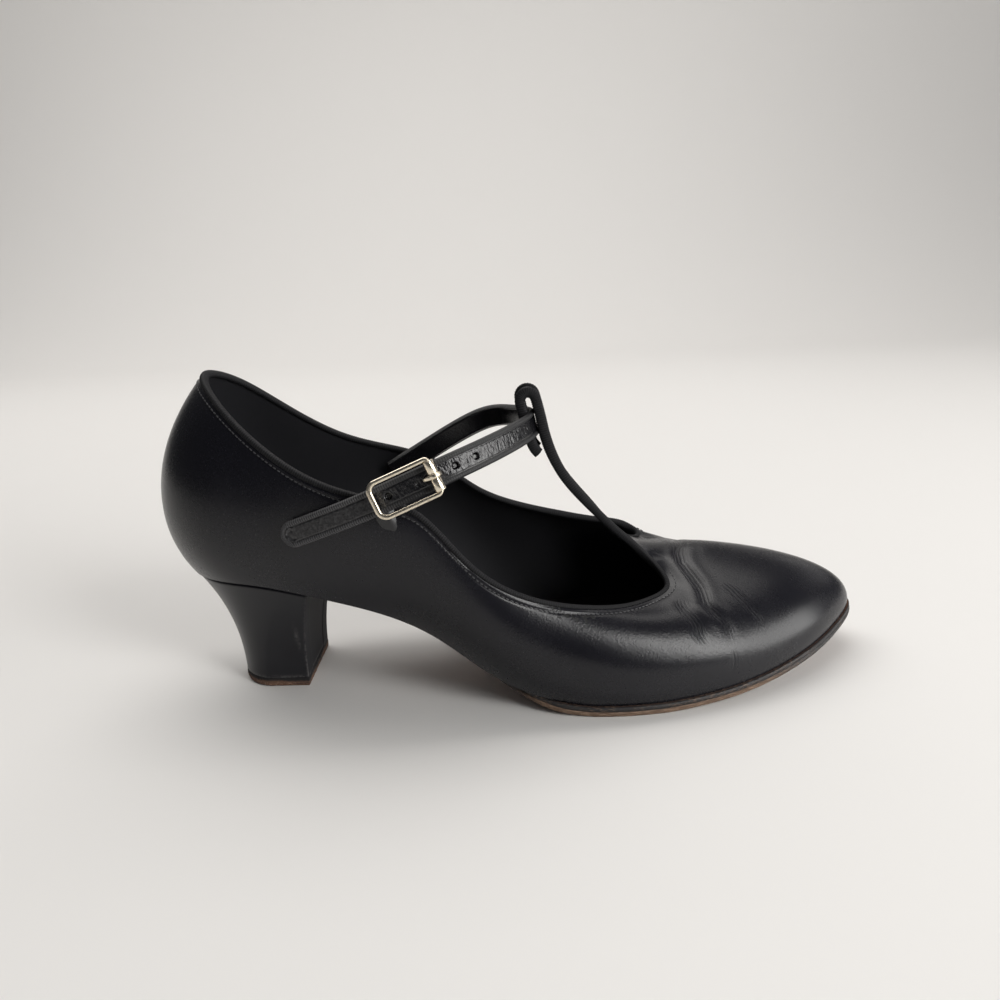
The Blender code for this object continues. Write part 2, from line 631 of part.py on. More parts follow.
def build_buckle_roller():
    """Thin tube that turns on the frame's straight end."""
    middle, run, width, face = buckle_axes()
    place = middle + run * (BUCKLE_LENGTH - BUCKLE_WIRE) / 2.0
    inner = BUCKLE_WIRE / 2.0 + GAP
    corners = ((inner, -1), (inner + ROLLER_WALL, -1), (inner + ROLLER_WALL, 1), (inner, 1))
    rings = [round_ring(place + width * ROLLER_LENGTH / 2.0 * end, radius, run, face)
             for radius, end in corners]
    solid, skin = sweep(rings, closed=True)
    mesh_object("buckle_roller", solid, skin, GOLD, 0.22, metallic=1.0)


def build_buckle_prong():
    """Short prong from the roller, bending down to its hole in the strap."""
    middle, run, width, face = buckle_axes()
    root = middle + run * (BUCKLE_LENGTH / 2.0 - BUCKLE_WIRE - 2.0 * GAP - ROLLER_WALL)
    drop = BUCKLE_WIRE / 2.0 - PRONG_THICKNESS / 2.0
    corners = ((-1, -1), (1, -1), (1, 1), (-1, 1))
    rings = [[root - run * PRONG_REACH * reach - face * drop * reach
              + width * PRONG_WIDTH / 2.0 * side + face * PRONG_THICKNESS / 2.0 * out
              for side, out in corners] for reach in (0.0, 0.6, 1.0)]
    solid, skin = sweep(rings)
    mesh_object("buckle_prong", solid, skin, GOLD, 0.25, metallic=1.0)


def build_buckle_chape():
    """Leather tab on the lateral quarter, rising over the binding to the buckle."""
    at = np.linspace(*CHAPE_SECTIONS, CHAPE_STEPS + 1)
    levels = np.linspace(*CHAPE_LEVELS, CHAPE_STEPS + 1)
    grid = wall_grid(at, levels)
    faces = grid_faces(CHAPE_STEPS + 1, CHAPE_STEPS + 1)
    points = grid.reshape(-1, 3)
    lift = np.repeat(np.linspace(*CHAPE_LIFT, CHAPE_STEPS + 1), CHAPE_STEPS + 1)[:, None] + CHAPE
    solid, skin = thicken(points + sheet_normals(points, faces) * lift, faces, CHAPE)
    mesh_object("buckle_chape", solid, skin, (0.012, 0.012, 0.013), 0.45)


def main():
    """Clear the scene and build every piece."""
    for item in list(bpy.data.objects):
        bpy.data.objects.remove(item)
    shoe = bpy.data.objects.new("shoe", None)
    shoe.location = (-BOX_CENTRE[0] * MM, -BOX_CENTRE[1] * MM, 0.0)
    bpy.context.collection.objects.link(shoe)
    build_upper()
    build_binding()
    build_insole()
    build_outsole()
    build_heel()
    build_heel_lift()
    build_ankle_strap()
    build_buckle_chape()
    build_buckle_frame()
    build_buckle_roller()
    build_buckle_prong()


main()
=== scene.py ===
"""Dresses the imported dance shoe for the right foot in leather, ribbon, sole and metal.

Sizes are millimetres in the last's own axes (+X toe, +Y medial side, +Z up) until a mesh takes them in
metres. Along is a percentage of the shoe's length from the heel, side of half the ball width, rise of the
back height. A finish gives its scales in cells a metre and its depths in metres.
"""
import logging
from dataclasses import dataclass, field
from enum import Enum

import bmesh
import bpy
import numpy as np
from mathutils import Matrix


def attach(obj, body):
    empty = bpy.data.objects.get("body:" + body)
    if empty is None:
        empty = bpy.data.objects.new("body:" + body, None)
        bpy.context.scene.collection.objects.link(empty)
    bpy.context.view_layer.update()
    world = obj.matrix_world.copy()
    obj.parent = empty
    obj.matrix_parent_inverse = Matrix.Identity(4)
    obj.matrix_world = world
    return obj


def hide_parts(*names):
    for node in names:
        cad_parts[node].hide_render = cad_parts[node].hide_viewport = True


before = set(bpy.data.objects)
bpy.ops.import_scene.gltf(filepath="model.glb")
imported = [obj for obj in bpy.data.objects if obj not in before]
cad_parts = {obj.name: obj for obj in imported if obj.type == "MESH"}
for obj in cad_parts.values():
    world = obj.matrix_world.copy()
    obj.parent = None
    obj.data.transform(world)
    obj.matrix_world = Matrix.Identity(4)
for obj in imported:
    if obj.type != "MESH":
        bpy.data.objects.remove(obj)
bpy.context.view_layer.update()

log = logging.getLogger("dance_shoe")

Array = np.ndarray
Span = tuple[float, float]
Triple = tuple[float, float, float]
Path = tuple[Span, ...]
Colour = tuple[float, float, float, float]
MM = 0.001
ROOT = "root"
TURN = 2.0 * np.pi
TINY = 1e-9
UP = np.array([0.0, 0.0, 1.0])


class Slot(Enum):
    """The record's material slots."""

    UPPER = "upper_leather"
    BINDING = "binding_ribbon"
    INSOLE = "insole"
    SOLE = "sole_leather"
    HEEL = "heel_cover"
    LIFT = "lift_leather"
    STRAP = "strap_leather"
    METAL = "buckle_metal"


class Side(Enum):
    """The two sides of the foot."""

    LATERAL = "lateral"
    MEDIAL = "medial"


# Rows of the shoe's tables

@dataclass(frozen=True)
class BottomRow:
    """A place on the last's bottom: along in percent, height in millimetres."""

    along: float
    height: float


@dataclass(frozen=True)
class SectionRow:
    """One section of the upper's wall, from the feather edge by two handles to the topline."""

    name: str
    along: float
    side: float
    out: float
    up: float
    top_along: float
    top_side: float
    top_rise: float
    pull: float
    lean: float
    drop: float


@dataclass(frozen=True)
class BarRow:
    """One place on the T-bar's centre line, with its half width, arch and twist."""

    along: float
    side: float
    rise: float
    half_width: float
    arch: float
    twist: float


@dataclass(frozen=True)
class RouteRow:
    """One place on the ankle strap's route, with the direction its face looks."""

    name: str
    along: float
    side: float
    rise: float
    face_x: float
    face_y: float
    face_z: float


@dataclass(frozen=True)
class Crease:
    """A soft fold of the vamp: its path as pairs of section number and level, its depth, width and lips."""

    name: str
    path: Path
    depth: float
    width: float
    lip: float


BOTTOM = tuple(BottomRow(*row) for row in (
    (2.0, 39.9), (12.5, 40.7), (22.0, 37.4), (34.0, 28.6), (41.0, 19.9), (46.5, 11.6),
    (52.5, 5.9), (59.5, 3.3), (69.0, 3.3), (80.5, 5.4), (91.0, 9.5), (101.0, 15.3),
))
TREAD_HEIGHT = 3.3

SECTIONS = tuple(SectionRow(*row) for row in (
    ("heel back", 3.5, 0, 10.5, 16.0, 9.0, 0, 99.8, 0.0, 21.0, 22.0),
    ("lateral heel corner", 7.6, -41, 9.0, 16.0, 11.5, -36, 95.0, 0.0, 15.0, 22.0),
    ("lateral heel side", 14.5, -59, 7.0, 16.0, 16.7, -60, 84.5, 0.0, 6.0, 20.0),
    ("lateral seat front", 23.2, -66, 6.0, 14.0, 24.0, -75, 73.3, 0.0, 3.0, 14.0),
    ("lateral quarter", 31.8, -67, 7.0, 12.0, 31.8, -83, 67.3, 0.0, 3.0, 12.0),
    ("lateral waist", 40.5, -75, 7.0, 12.0, 38.3, -86, 62.0, 0.0, 3.5, 14.0),
    ("lateral waist front", 48.3, -88, 6.0, 12.0, 44.4, -90, 47.1, 0.0, 4.0, 12.0),
    ("lateral ball rear", 56.0, -97, 5.0, 10.0, 50.9, -88, 37.0, 0.0, 6.0, 10.0),
    ("lateral ball", 64.3, -100, 5.0, 10.0, 57.4, -80, 32.0, 0.1, 8.0, 7.0),
    ("lateral ball front", 73.4, -92, 4.5, 10.0, 63.4, -68, 29.4, 0.2, 8.0, 4.0),
    ("lateral toe side", 82.0, -75, 4.5, 11.0, 67.8, -50, 28.3, 0.3, 7.0, 0.6),
    ("lateral throat", 90.3, -47, 4.0, 12.5, 70.9, -33, 30.0, 0.35, 4.0, -0.3),
    ("lateral toe corner", 96.3, -16, 2.5, 14.5, 70.1, -11, 34.1, 0.38, 2.0, -0.5),
    ("toe tip", 100.0, 16, 1.0, 15.5, 70.8, 8, 37.8, 0.4, 0.0, 1.8),
    ("medial toe corner", 98.2, 42, 2.5, 14.5, 70.6, 23, 37.4, 0.38, 2.0, 1.6),
    ("medial throat", 93.0, 64, 4.0, 13.0, 70.0, 35, 36.2, 0.30, 3.0, 3.5),
    ("medial toe side", 85.0, 82, 4.5, 12.0, 67.4, 49, 40.2, 0.20, 3.0, 7.5),
    ("medial ball front", 75.5, 95, 5.0, 12.0, 62.8, 62, 41.2, 0.14, 5.0, 10.0),
    ("medial ball", 66.0, 98, 5.5, 11.0, 57.0, 71, 43.0, 0.1, 9.0, 9.0),
    ("medial ball rear", 56.5, 87, 6.5, 11.0, 50.9, 77, 46.0, 0.0, 8.0, 12.0),
    ("medial waist front", 48.0, 70, 8.0, 12.0, 44.4, 80, 52.0, 0.0, 6.0, 14.0),
    ("medial waist", 40.0, 58, 9.5, 12.0, 38.3, 81, 62.0, 0.0, 4.0, 15.0),
    ("medial quarter", 31.8, 57, 9.0, 12.0, 31.8, 79, 68.0, 0.0, 3.5, 12.0),
    ("medial seat front", 23.2, 62, 7.0, 14.0, 24.0, 72, 74.0, 0.0, 3.0, 14.0),
    ("medial heel side", 14.5, 59, 7.0, 16.0, 16.7, 59, 85.0, 0.0, 6.0, 20.0),
    ("medial heel corner", 7.6, 41, 9.0, 16.0, 11.5, 36, 95.5, 0.0, 15.0, 22.0),
))

BAR = tuple(BarRow(*row) for row in (
    (70.8, 11, 38.4, 9.2, 0.030, 6.0),
    (66.5, 7, 41.3, 6.5, 0.015, 14.0),
    (62.1, 4, 51.2, 5.8, 0.004, 6.0),
    (57.4, 2, 64.0, 5.4, 0.0, 4.0),
    (55.2, 1, 75.5, 5.2, 0.0, 2.0),
    (54.6, 0, 82.0, 5.2, 0.0, 0.0),
    (53.9, 0, 88.6, 5.2, 0.0, 0.0),
))

STRAP_ROUTE = tuple(RouteRow(*row) for row in (
    ("rounded end", 20.9, -84, 56.6, -0.10, -0.98, 0.12),
    ("lateral quarter", 27.0, -91, 61.7, -0.03, -0.98, 0.14),
    ("buckle end", 33.0, -96, 67.0, 0.02, -0.97, 0.16),
    ("buckle bar", 40.4, -93, 73.6, 0.20, -0.93, 0.20),
    ("lateral ankle", 45.8, -75, 77.2, 0.55, -0.75, 0.24),
    ("lateral instep", 50.6, -43, 79.6, 0.80, -0.48, 0.27),
    ("loop", 53.2, 0, 80.6, 0.976, 0.0, 0.214),
    ("medial instep", 50.6, 43, 79.6, 0.80, 0.48, 0.27),
    ("medial ankle", 45.8, 66, 77.3, 0.55, 0.75, 0.24),
    ("medial topline", 38.5, 69, 69.0, 0.20, 0.95, 0.18),
    ("medial quarter", 31.5, 69, 60.0, 0.02, 0.97, 0.10),
))

CREASES = (
    Crease("ball", ((17.0, 0.50), (16.2, 0.72), (15.04, 0.845), (13.4, 0.905), (12.08, 0.89), (11.32, 0.85),
                    (10.66, 0.77), (10.34, 0.665), (10.2, 0.565), (10.04, 0.485), (9.88, 0.395)),
           0.32, 1.5, 0.17),
    Crease("rear", ((10.40, 0.86), (10.12, 0.785), (9.76, 0.615), (9.62, 0.53), (9.48, 0.40)),
           0.10, 1.6, 0.06),
    Crease("front", ((11.44, 0.74), (11.08, 0.66), (10.72, 0.53), (10.54, 0.42), (10.42, 0.33)),
           0.06, 1.5, 0.04),
    Crease("low", ((9.84, 0.37), (9.74, 0.30), (9.66, 0.245), (9.56, 0.18)), 0.05, 0.9, 0.03),
    Crease("medial", ((17.4, 0.66), (17.2, 0.52), (17.3, 0.40), (17.5, 0.30)), 0.15, 1.2, 0.09),
)
FAR = 9.0
SHEEN_PATH = ((7.04, 0.805), (8.22, 0.755), (8.88, 0.63), (9.48, 0.49), (10.04, 0.40))
SCUFF_PATH = ((7.60, 0.93), (7.80, 0.895), (8.0, 0.875), (8.2, 0.89))


# Curves and grids

def spline(rows: Array, at: Array, closed: bool = False) -> Array:
    """Cubic curve through evenly counted rows, with matching first and second derivatives at each row.

    Args:
        rows: One row of values for each whole number.
        at: Row numbers to read, whole or between.
        closed: Whether the last row runs on into the first.

    Returns:
        One row of values for each number in at.
    """
    rows = np.asarray(rows, float)
    count = len(rows)
    nodes = np.arange(count)
    system = 4.0 * np.eye(count)
    system[nodes, (nodes + 1) % count] += 1.0
    system[nodes, (nodes - 1) % count] += 1.0
    right = 3.0 * (np.roll(rows, -1, axis=0) - np.roll(rows, 1, axis=0))
    if not closed:
        system[0] = 0.0
        system[-1] = 0.0
        system[0, :2] = (2.0, 1.0)
        system[-1, -2:] = (1.0, 2.0)
        right[0] = 3.0 * (rows[1] - rows[0])
        right[-1] = 3.0 * (rows[-1] - rows[-2])
    slope = np.linalg.solve(system, right)
    at = np.asarray(at, float)
    low = np.floor(at).astype(int)
    if not closed:
        low = np.clip(low, 0, count - 2)
    t = (at - low)[:, None]
    first, last = low % count, (low + 1) % count
    return ((2 * t**3 - 3 * t**2 + 1) * rows[first] + (t**3 - 2 * t**2 + t) * slope[first]
            + (3 * t**2 - 2 * t**3) * rows[last] + (t**3 - t**2) * slope[last])


def smooth(t: Array) -> Array:
    """Soft step 3t^2 - 2t^3 from 0 to 1."""
    t = np.clip(t, 0.0, 1.0)
    return t * t * (3.0 - 2.0 * t)


def bell(distance: Array, width: float) -> Array:
    """Bell curve exp(-(distance / width)^2)."""
    return np.exp(-(distance / width)**2)


def unit(vectors: Array) -> Array:
    """Vectors divided by their own length."""
    vectors = np.asarray(vectors, float)
    return vectors / np.maximum(np.linalg.norm(vectors, axis=-1, keepdims=True), TINY)


def dot(first: Array, second: Array) -> Array:
    """Dot product along the last axis, which it keeps."""
    return np.sum(first * second, axis=-1, keepdims=True)


def table(rows: tuple) -> Array:
    """The numbers of a table's rows, without their names."""
    return np.array([[value for value in vars(row).values() if not isinstance(value, str)]
                     for row in rows], float)


def row_number(rows: tuple, name: str) -> int:
    """Number of the named row of a table."""
    return [row.name for row in rows].index(name)


def travelled(path: Array) -> Array:
    """Length along a path up to each of its points."""
    return np.concatenate([[0.0], np.cumsum(np.linalg.norm(np.diff(path, axis=0), axis=1))])


def read_along(values: Array, lengths: Array, at: Array) -> Array:
    """Rows of values that belong to lengths, read at other lengths by straight interpolation."""
    return np.stack([np.interp(at, lengths, column) for column in np.asarray(values, float).T], axis=1)


def grid_quads(rows: int, columns: int, wrap_rows: bool = False, wrap_columns: bool = False) -> Array:
    """Quads of a grid whose points are numbered row by row.

    Args:
        rows: Number of rows.
        columns: Number of points in a row.
        wrap_rows: Whether the last row joins the first.
        wrap_columns: Whether the last column joins the first.

    Returns:
        An array of four point numbers for each quad.
    """
    row, column = np.meshgrid(np.arange(rows if wrap_rows else rows - 1),
                              np.arange(columns if wrap_columns else columns - 1), indexing="ij")
    above, beside = (row + 1) % rows, (column + 1) % columns
    return np.stack([row * columns + column, row * columns + beside,
                     above * columns + beside, above * columns + column], axis=-1).reshape(-1, 4)


def point_normals(points: Array, quads: Array) -> Array:
    """Direction at each point: the sum of the crossed diagonals of the quads round it, made one long.

    Args:
        points: Points of a sheet.
        quads: Its quads.

    Returns:
        One direction for each point.
    """
    corners = points[quads]
    crossed = np.cross(corners[:, 2] - corners[:, 0], corners[:, 3] - corners[:, 1])
    total = np.zeros_like(points)
    for corner in range(4):
        np.add.at(total, quads[:, corner], crossed)
    return unit(total)


@dataclass
class Shape:
    """Points in millimetres with faces and values at each point, before they become a piece."""

    points: Array
    faces: list[Array]
    values: dict[str, Array] = field(default_factory=dict)

    def facing_out(self) -> "Shape":
        """Turns every face of this closed shape outward, by the sign of its volume.

        Returns:
            The same shape.
        """
        triangles = np.concatenate([part[:, [0, corner, corner + 1]] for part in self.faces
                                    for corner in range(1, part.shape[1] - 1)])
        a, b, c = self.points[triangles].transpose(1, 0, 2)
        if np.sum(a * np.cross(b, c)) < 0.0:
            self.faces = [part[:, ::-1] for part in self.faces]
        return self


def lofted(rings: Array, closed: bool = False, values: dict[str, Array] | None = None) -> Shape:
    """Solid through rings of points, each joined to the next, with a fan to the middle at both ends.

    Args:
        rings: Array of rings by points by three.
        closed: Whether the last ring joins the first, so that there are no ends.
        values: Values at each point of the rings, as arrays of rings by points.

    Returns:
        The closed shape, facing outward.
    """
    count, sides = rings.shape[:2]
    points = rings.reshape(-1, 3)
    faces = [grid_quads(count, sides, wrap_rows=closed, wrap_columns=True)]
    held = {name: np.asarray(value, float).reshape(-1) for name, value in (values or {}).items()}
    if not closed:
        middles = np.stack([rings[0].mean(axis=0), rings[-1].mean(axis=0)])
        held = {name: np.concatenate([value, value[[0, -1]]]) for name, value in held.items()}
        here = np.arange(sides)
        there = (here + 1) % sides
        last = (count - 1) * sides
        faces.append(np.stack([there, here, np.full(sides, len(points))], axis=1))
        faces.append(np.stack([last + here, last + there, np.full(sides, len(points) + 1)], axis=1))
        points = np.concatenate([points, middles])
    return Shape(points, faces, held).facing_out()


def thickened(base: Array, quads: Array, rise: Array, wall: float) -> tuple[Shape, Array]:
    """Closed wall from a sheet: a raised outer face, an inner face behind it, and a rim on open edges.

    Args:
        base: Points of the sheet.
        quads: Quads of the sheet.
        rise: Height of the outer face over the sheet at each point.
        wall: Distance of the inner face behind the sheet.

    Returns:
        The shape, and the sheet's direction at each point.
    """
    normals = point_normals(base, quads)
    count = len(base)
    here = quads.ravel()
    there = np.roll(quads, -1, axis=1).ravel()
    open_edge = ~np.isin(here * count + there, there * count + here)
    here, there = here[open_edge], there[open_edge]
    rim = np.stack([there, here, here + count, there + count], axis=1)
    points = np.concatenate([base + normals * rise[:, None], base - normals * wall])
    inside = np.concatenate([np.zeros(count), np.ones(count)])
    return Shape(points, [quads, quads[:, ::-1] + count, rim], {"inside": inside}).facing_out(), normals


def faired(points: Array, quads: Array, free: Array, held: Array, rounds: int = 900) -> Array:
    """Sheet whose free points lie where it bends most evenly.

    Each point's bend is its distance from the mean of its neighbours, the nearer ones counting more by the
    inverse square of their distance. Conjugate gradients bring the sum of squared bends down, and the other
    points stay.

    Args:
        points: Points of the sheet.
        quads: Its quads.
        free: Numbers of the points that may move.
        held: Numbers of the points on its open edge, whose bend isn't counted.
        rounds: Steps of conjugate gradients.

    Returns:
        All points.
    """
    pairs = np.concatenate([quads[:, [side, (side + turn) % 4]] for side in range(4) for turn in (1, 3)])
    pairs = np.unique(pairs, axis=0)
    pairs = pairs[np.isin(pairs[:, 0], pairs[np.isin(pairs[:, 1], free), 0]) & ~np.isin(pairs[:, 0], held)]
    own, row = np.unique(pairs[:, 0], return_inverse=True)
    weight = 1.0 / np.maximum(np.sum((points[pairs[:, 1]] - points[pairs[:, 0]])**2, axis=1), 1e-6)
    share = (weight / np.bincount(row, weight)[row])[:, None]
    order = np.argsort(pairs[:, 1], kind="stable")
    others, place = np.unique(pairs[order, 1], return_index=True)
    starts = np.unique(row, return_index=True)[1]
    moving = np.zeros((len(points), 1))
    moving[free] = 1.0

    def pulled(change: Array) -> Array:
        """Carries the bends that a change makes back to the free points.

        Args:
            change: A move of every point.

        Returns:
            The pull on every point, nothing where it isn't free.
        """
        bend = change[own] - np.add.reduceat(share * change[pairs[:, 1]], starts)
        back = np.zeros_like(change)
        back[own] += bend
        back[others] -= np.add.reduceat((share * bend[row])[order], place)
        return back * moving

    result = points.copy()
    rest = -pulled(result)
    step, size = rest, np.sum(rest**2)
    for _ in range(rounds):
        pull = pulled(step)
        gain = size / np.sum(step * pull)
        result, rest = result + gain * step, rest - gain * pull
        before, size = size, np.sum(rest**2)
        step = rest + size / before * step
    return result


def nearest_on_path(points: Array, path: Array) -> tuple[Array, Array, Array]:
    """Nearest place on a path of straight pieces to each point.

    Args:
        points: Points to measure from.
        path: Points of the path.

    Returns:
        Distance, share of the path's length, and the vector from the path to the point.
    """
    start, step = path[:-1], np.diff(path, axis=0)
    share = np.einsum("nsk,sk->ns", points[:, None] - start, step)
    share = np.clip(share / np.maximum(np.sum(step**2, axis=1), TINY), 0.0, 1.0)
    gap = points[:, None] - (start + share[..., None] * step)
    far = np.linalg.norm(gap, axis=2)
    best = np.argmin(far, axis=1)
    each = np.arange(len(points))
    return far[each, best], (best + share[each, best]) / len(step), gap[each, best]


def near_path(points: Array, path: Array, reach: float) -> Array:
    """Numbers of the points inside a path's box, grown by a reach on every side."""
    low, high = path.min(axis=0) - reach, path.max(axis=0) + reach
    return np.flatnonzero(np.all((points > low) & (points < high), axis=1))


def oval(sides: int, power: float) -> tuple[Array, Array]:
    """Section between a circle and a square: cosine and sine of a turn, each to a power that keeps its sign.

    Args:
        sides: Number of points.
        power: 1 for a circle, less for a squarer section.

    Returns:
        Places across and up, from -1 to 1.
    """
    turn = np.arange(sides) * TURN / sides
    across, up = np.cos(turn), np.sin(turn)
    return np.sign(across) * np.abs(across)**power, np.sign(up) * np.abs(up)**power


# The last and the upper's own function

@dataclass
class Last:
    """The last that every piece is shaped on, and the way from its millimetres to the frame's metres."""

    length: float = 231.0
    half_ball: float = 38.0
    back_height: float = 104.0
    centre: tuple[float, float] = (1.46, -0.90)
    bottom_steps: int = 12
    plan_step: float = 0.02
    path_steps: int = 28

    def along_x(self, along: Array) -> Array:
        """Place along the shoe from its middle."""
        return (np.asarray(along, float) / 100.0 - 0.5) * self.length

    def side_y(self, side: Array) -> Array:
        """Place across the shoe."""
        return np.asarray(side, float) / 100.0 * self.half_ball

    def rise_z(self, rise: Array) -> Array:
        """Height above the floor."""
        return np.asarray(rise, float) / 100.0 * self.back_height

    def placed(self, values: Array) -> Array:
        """Points from columns of along, side and rise."""
        along, side, rise = values[:, :3].T
        return np.stack([self.along_x(along), self.side_y(side), self.rise_z(rise)], axis=1)

    def to_metres(self, points: Array) -> Array:
        """Points in the frame's metres."""
        return (points - np.array([*self.centre, 0.0])) * MM

    def bottom(self, x: Array) -> Array:
        """Height of the last's bottom along X: a spline, never under the flat tread.

        Args:
            x: Places along X.

        Returns:
            Heights.
        """
        count = (len(BOTTOM) - 1) * self.bottom_steps + 1
        along, height = spline(table(BOTTOM), np.arange(count) / self.bottom_steps).T
        return np.maximum(np.interp(x, self.along_x(along), height), TREAD_HEIGHT)

    def steepness(self, x: Array) -> Array:
        """Length along the bottom for each unit of X, from its slope over one millimetre."""
        return np.sqrt(1.0 + (self.bottom(x + 0.5) - self.bottom(x - 0.5))**2)

    def feather(self, at: Array) -> tuple[Array, Array]:
        """Feather edge at section numbers, and its level outward direction.

        Args:
            at: Section numbers, whole or between.

        Returns:
            Points on the feather edge, and directions at right angles to it in plan.
        """
        plan = table(SECTIONS)[:, :2]
        here, ahead, behind = (spline(plan, np.asarray(at) + shift, closed=True)
                               for shift in (0.0, self.plan_step, -self.plan_step))
        x = self.along_x(here[:, 0])
        points = np.stack([x, self.side_y(here[:, 1]), self.bottom(x)], axis=1)
        run_x = self.along_x(ahead[:, 0]) - self.along_x(behind[:, 0])
        run_y = self.side_y(ahead[:, 1] - behind[:, 1])
        return points, unit(np.stack([run_y, -run_x, np.zeros_like(run_x)], axis=1))

    def section_curves(self, at: Array) -> tuple[Array, Array, Array, Array]:
        """The four Bezier points of the wall, splined between the sections of its table.

        Args:
            at: Section numbers, whole or between.

        Returns:
            Feather edge, lower handle, upper handle and topline.
        """
        values = spline(table(SECTIONS), at, closed=True)
        out, up = values[:, 2:4].T
        pull, lean, drop = values[:, 7:].T
        feather, outward = self.feather(at)
        top = self.placed(values[:, 4:7])
        lower = feather + outward * out[:, None] + UP * up[:, None]
        upper = top + (feather - top) * pull[:, None] * (1.0, 1.0, 0.0)
        return feather, lower, upper + outward * lean[:, None] - UP * drop[:, None], top

    def wall(self, at: Array, levels: Array) -> Array:
        """Points of the wall: cubic Bezier curves from feather edge to topline.

        Args:
            at: Section numbers, whole or between.
            levels: Places on the curves from 0 to 1, which broadcast against the sections.

        Returns:
            Points in the shape of levels against sections.
        """
        feather, lower, upper, top = self.section_curves(at)
        t = np.asarray(levels, float)[..., None]
        return (1 - t)**3 * feather + 3 * (1 - t)**2 * t * lower + 3 * (1 - t) * t**2 * upper + t**3 * top

    def wall_path(self, pairs: Path) -> Array:
        """Points on the wall along a spline through pairs of section number and level."""
        at, level = spline(np.array(pairs), np.linspace(0.0, len(pairs) - 1.0, self.path_steps)).T
        return self.wall(at, level)


# Shader expressions

class Wire:
    """A shader socket that takes part in Python arithmetic through Math nodes."""

    def __init__(self, paint: "Paint", socket: bpy.types.NodeSocket) -> None:
        """Wraps an output socket of a paint's node tree."""
        self.paint = paint
        self.socket = socket

    def math(self, operation: str, first: object, second: object = 0.0) -> "Wire":
        """One Math node."""
        return self.paint.node("ShaderNodeMath", {"operation": operation}, {0: first, 1: second})

    def __add__(self, other: object) -> "Wire":
        """Sum."""
        return self.math("ADD", self, other)

    __radd__ = __add__

    def __mul__(self, other: object) -> "Wire":
        """Product."""
        return self.math("MULTIPLY", self, other)

    __rmul__ = __mul__

    def __sub__(self, other: object) -> "Wire":
        """Difference."""
        return self.math("SUBTRACT", self, other)

    def __rsub__(self, other: object) -> "Wire":
        """Difference from a number."""
        return self.math("SUBTRACT", other, self)

    def cosine(self) -> "Wire":
        """Cosine of the value in radians."""
        return self.math("COSINE", self)

    def largest(self, other: object) -> "Wire":
        """The larger of two values."""
        return self.math("MAXIMUM", self, other)

    def step(self, low: float, high: float) -> "Wire":
        """Soft step from 0 at low to 1 at high."""
        return self.paint.node("ShaderNodeMapRange", {"interpolation_type": "SMOOTHSTEP"},
                               {"Value": self, "From Min": low, "From Max": high})


class Paint:
    """A material whose nodes are written as expressions."""

    def __init__(self, name: str) -> None:
        """Starts a material with a Principled shader.

        Args:
            name: The material's name.
        """
        self.material = bpy.data.materials.new(name)
        self.material.use_nodes = True
        self.tree = self.material.node_tree
        self.shader = self.tree.nodes["Principled BSDF"]

    def connect(self, target: bpy.types.NodeSocket, value: object) -> None:
        """Links a wire to a socket, or sets the socket's own value.

        Args:
            target: An input of a node.
            value: A wire, or a number, colour or vector.
        """
        if isinstance(value, Wire):
            self.tree.links.new(value.socket, target)
        else:
            target.default_value = value

    def node(self, kind: str, settings: dict[str, object], sockets: dict[object, object],
             out: object = 0) -> Wire:
        """One node of any kind.

        Args:
            kind: Blender's type name.
            settings: The node's own settings.
            sockets: Values or wires for inputs, by name or number.
            out: Name or number of the output to read.

        Returns:
            The output as a wire.
        """
        node = self.tree.nodes.new(kind)
        for name, value in settings.items():
            setattr(node, name, value)
        for name, value in sockets.items():
            self.connect(node.inputs[name], value)
        return Wire(self, node.outputs[out])

    def place(self, scale: Triple = (1.0, 1.0, 1.0), turn: float = 0.0) -> Wire:
        """Object coordinates, turned about Y and then stretched.

        Args:
            scale: Stretch along each axis.
            turn: Angle in radians.

        Returns:
            The coordinates.
        """
        here = self.node("ShaderNodeTexCoord", {}, {}, "Object")
        turned = self.node("ShaderNodeMapping", {}, {"Vector": here, "Rotation": (0.0, turn, 0.0)})
        return self.node("ShaderNodeMapping", {}, {"Vector": turned, "Scale": scale})

    def axis(self, name: str) -> Wire:
        """One of the object coordinates, in metres."""
        return self.node("ShaderNodeSeparateXYZ", {}, {0: self.place()}, name)

    def values(self, *names: str) -> tuple[Wire, ...]:
        """Values that the piece holds at its points, by name."""
        return tuple(self.node("ShaderNodeAttribute", {"attribute_name": name}, {}, "Fac") for name in names)

    def noise(self, scale: float, detail: float = 3.0, place: Wire | None = None) -> Wire:
        """Noise from 0 to 1 with so many cells a metre."""
        return self.node("ShaderNodeTexNoise", {},
                         {"Vector": place or self.place(), "Scale": scale, "Detail": detail})

    def pebbles(self, scale: float) -> Wire:
        """Distance in soft rounded cells, so many a metre."""
        return self.node("ShaderNodeTexVoronoi", {"feature": "SMOOTH_F1"},
                         {"Vector": self.place(), "Scale": scale})

    def tint(self, share: object, first: object, second: object) -> Wire:
        """Colour between two colours."""
        return self.node("ShaderNodeMix", {"data_type": "RGBA"}, {0: share, 6: first, 7: second}, 2)

    def bump(self, height: Wire, depth: float, under: Wire | None = None) -> Wire:
        """Normal of a height of so many metres, over another normal."""
        below = {"Normal": under} if under else {}
        return self.node("ShaderNodeBump", {}, {"Height": height, "Distance": depth} | below)

    def finish(self, **sockets: object) -> bpy.types.Material:
        """Sets or links the shader's inputs.

        Args:
            sockets: Values or wires by the inputs' names, with _ for a space.

        Returns:
            The material.
        """
        for name, value in sockets.items():
            self.connect(self.shader.inputs[name.replace("_", " ")], value)
        return self.material


# Finishes

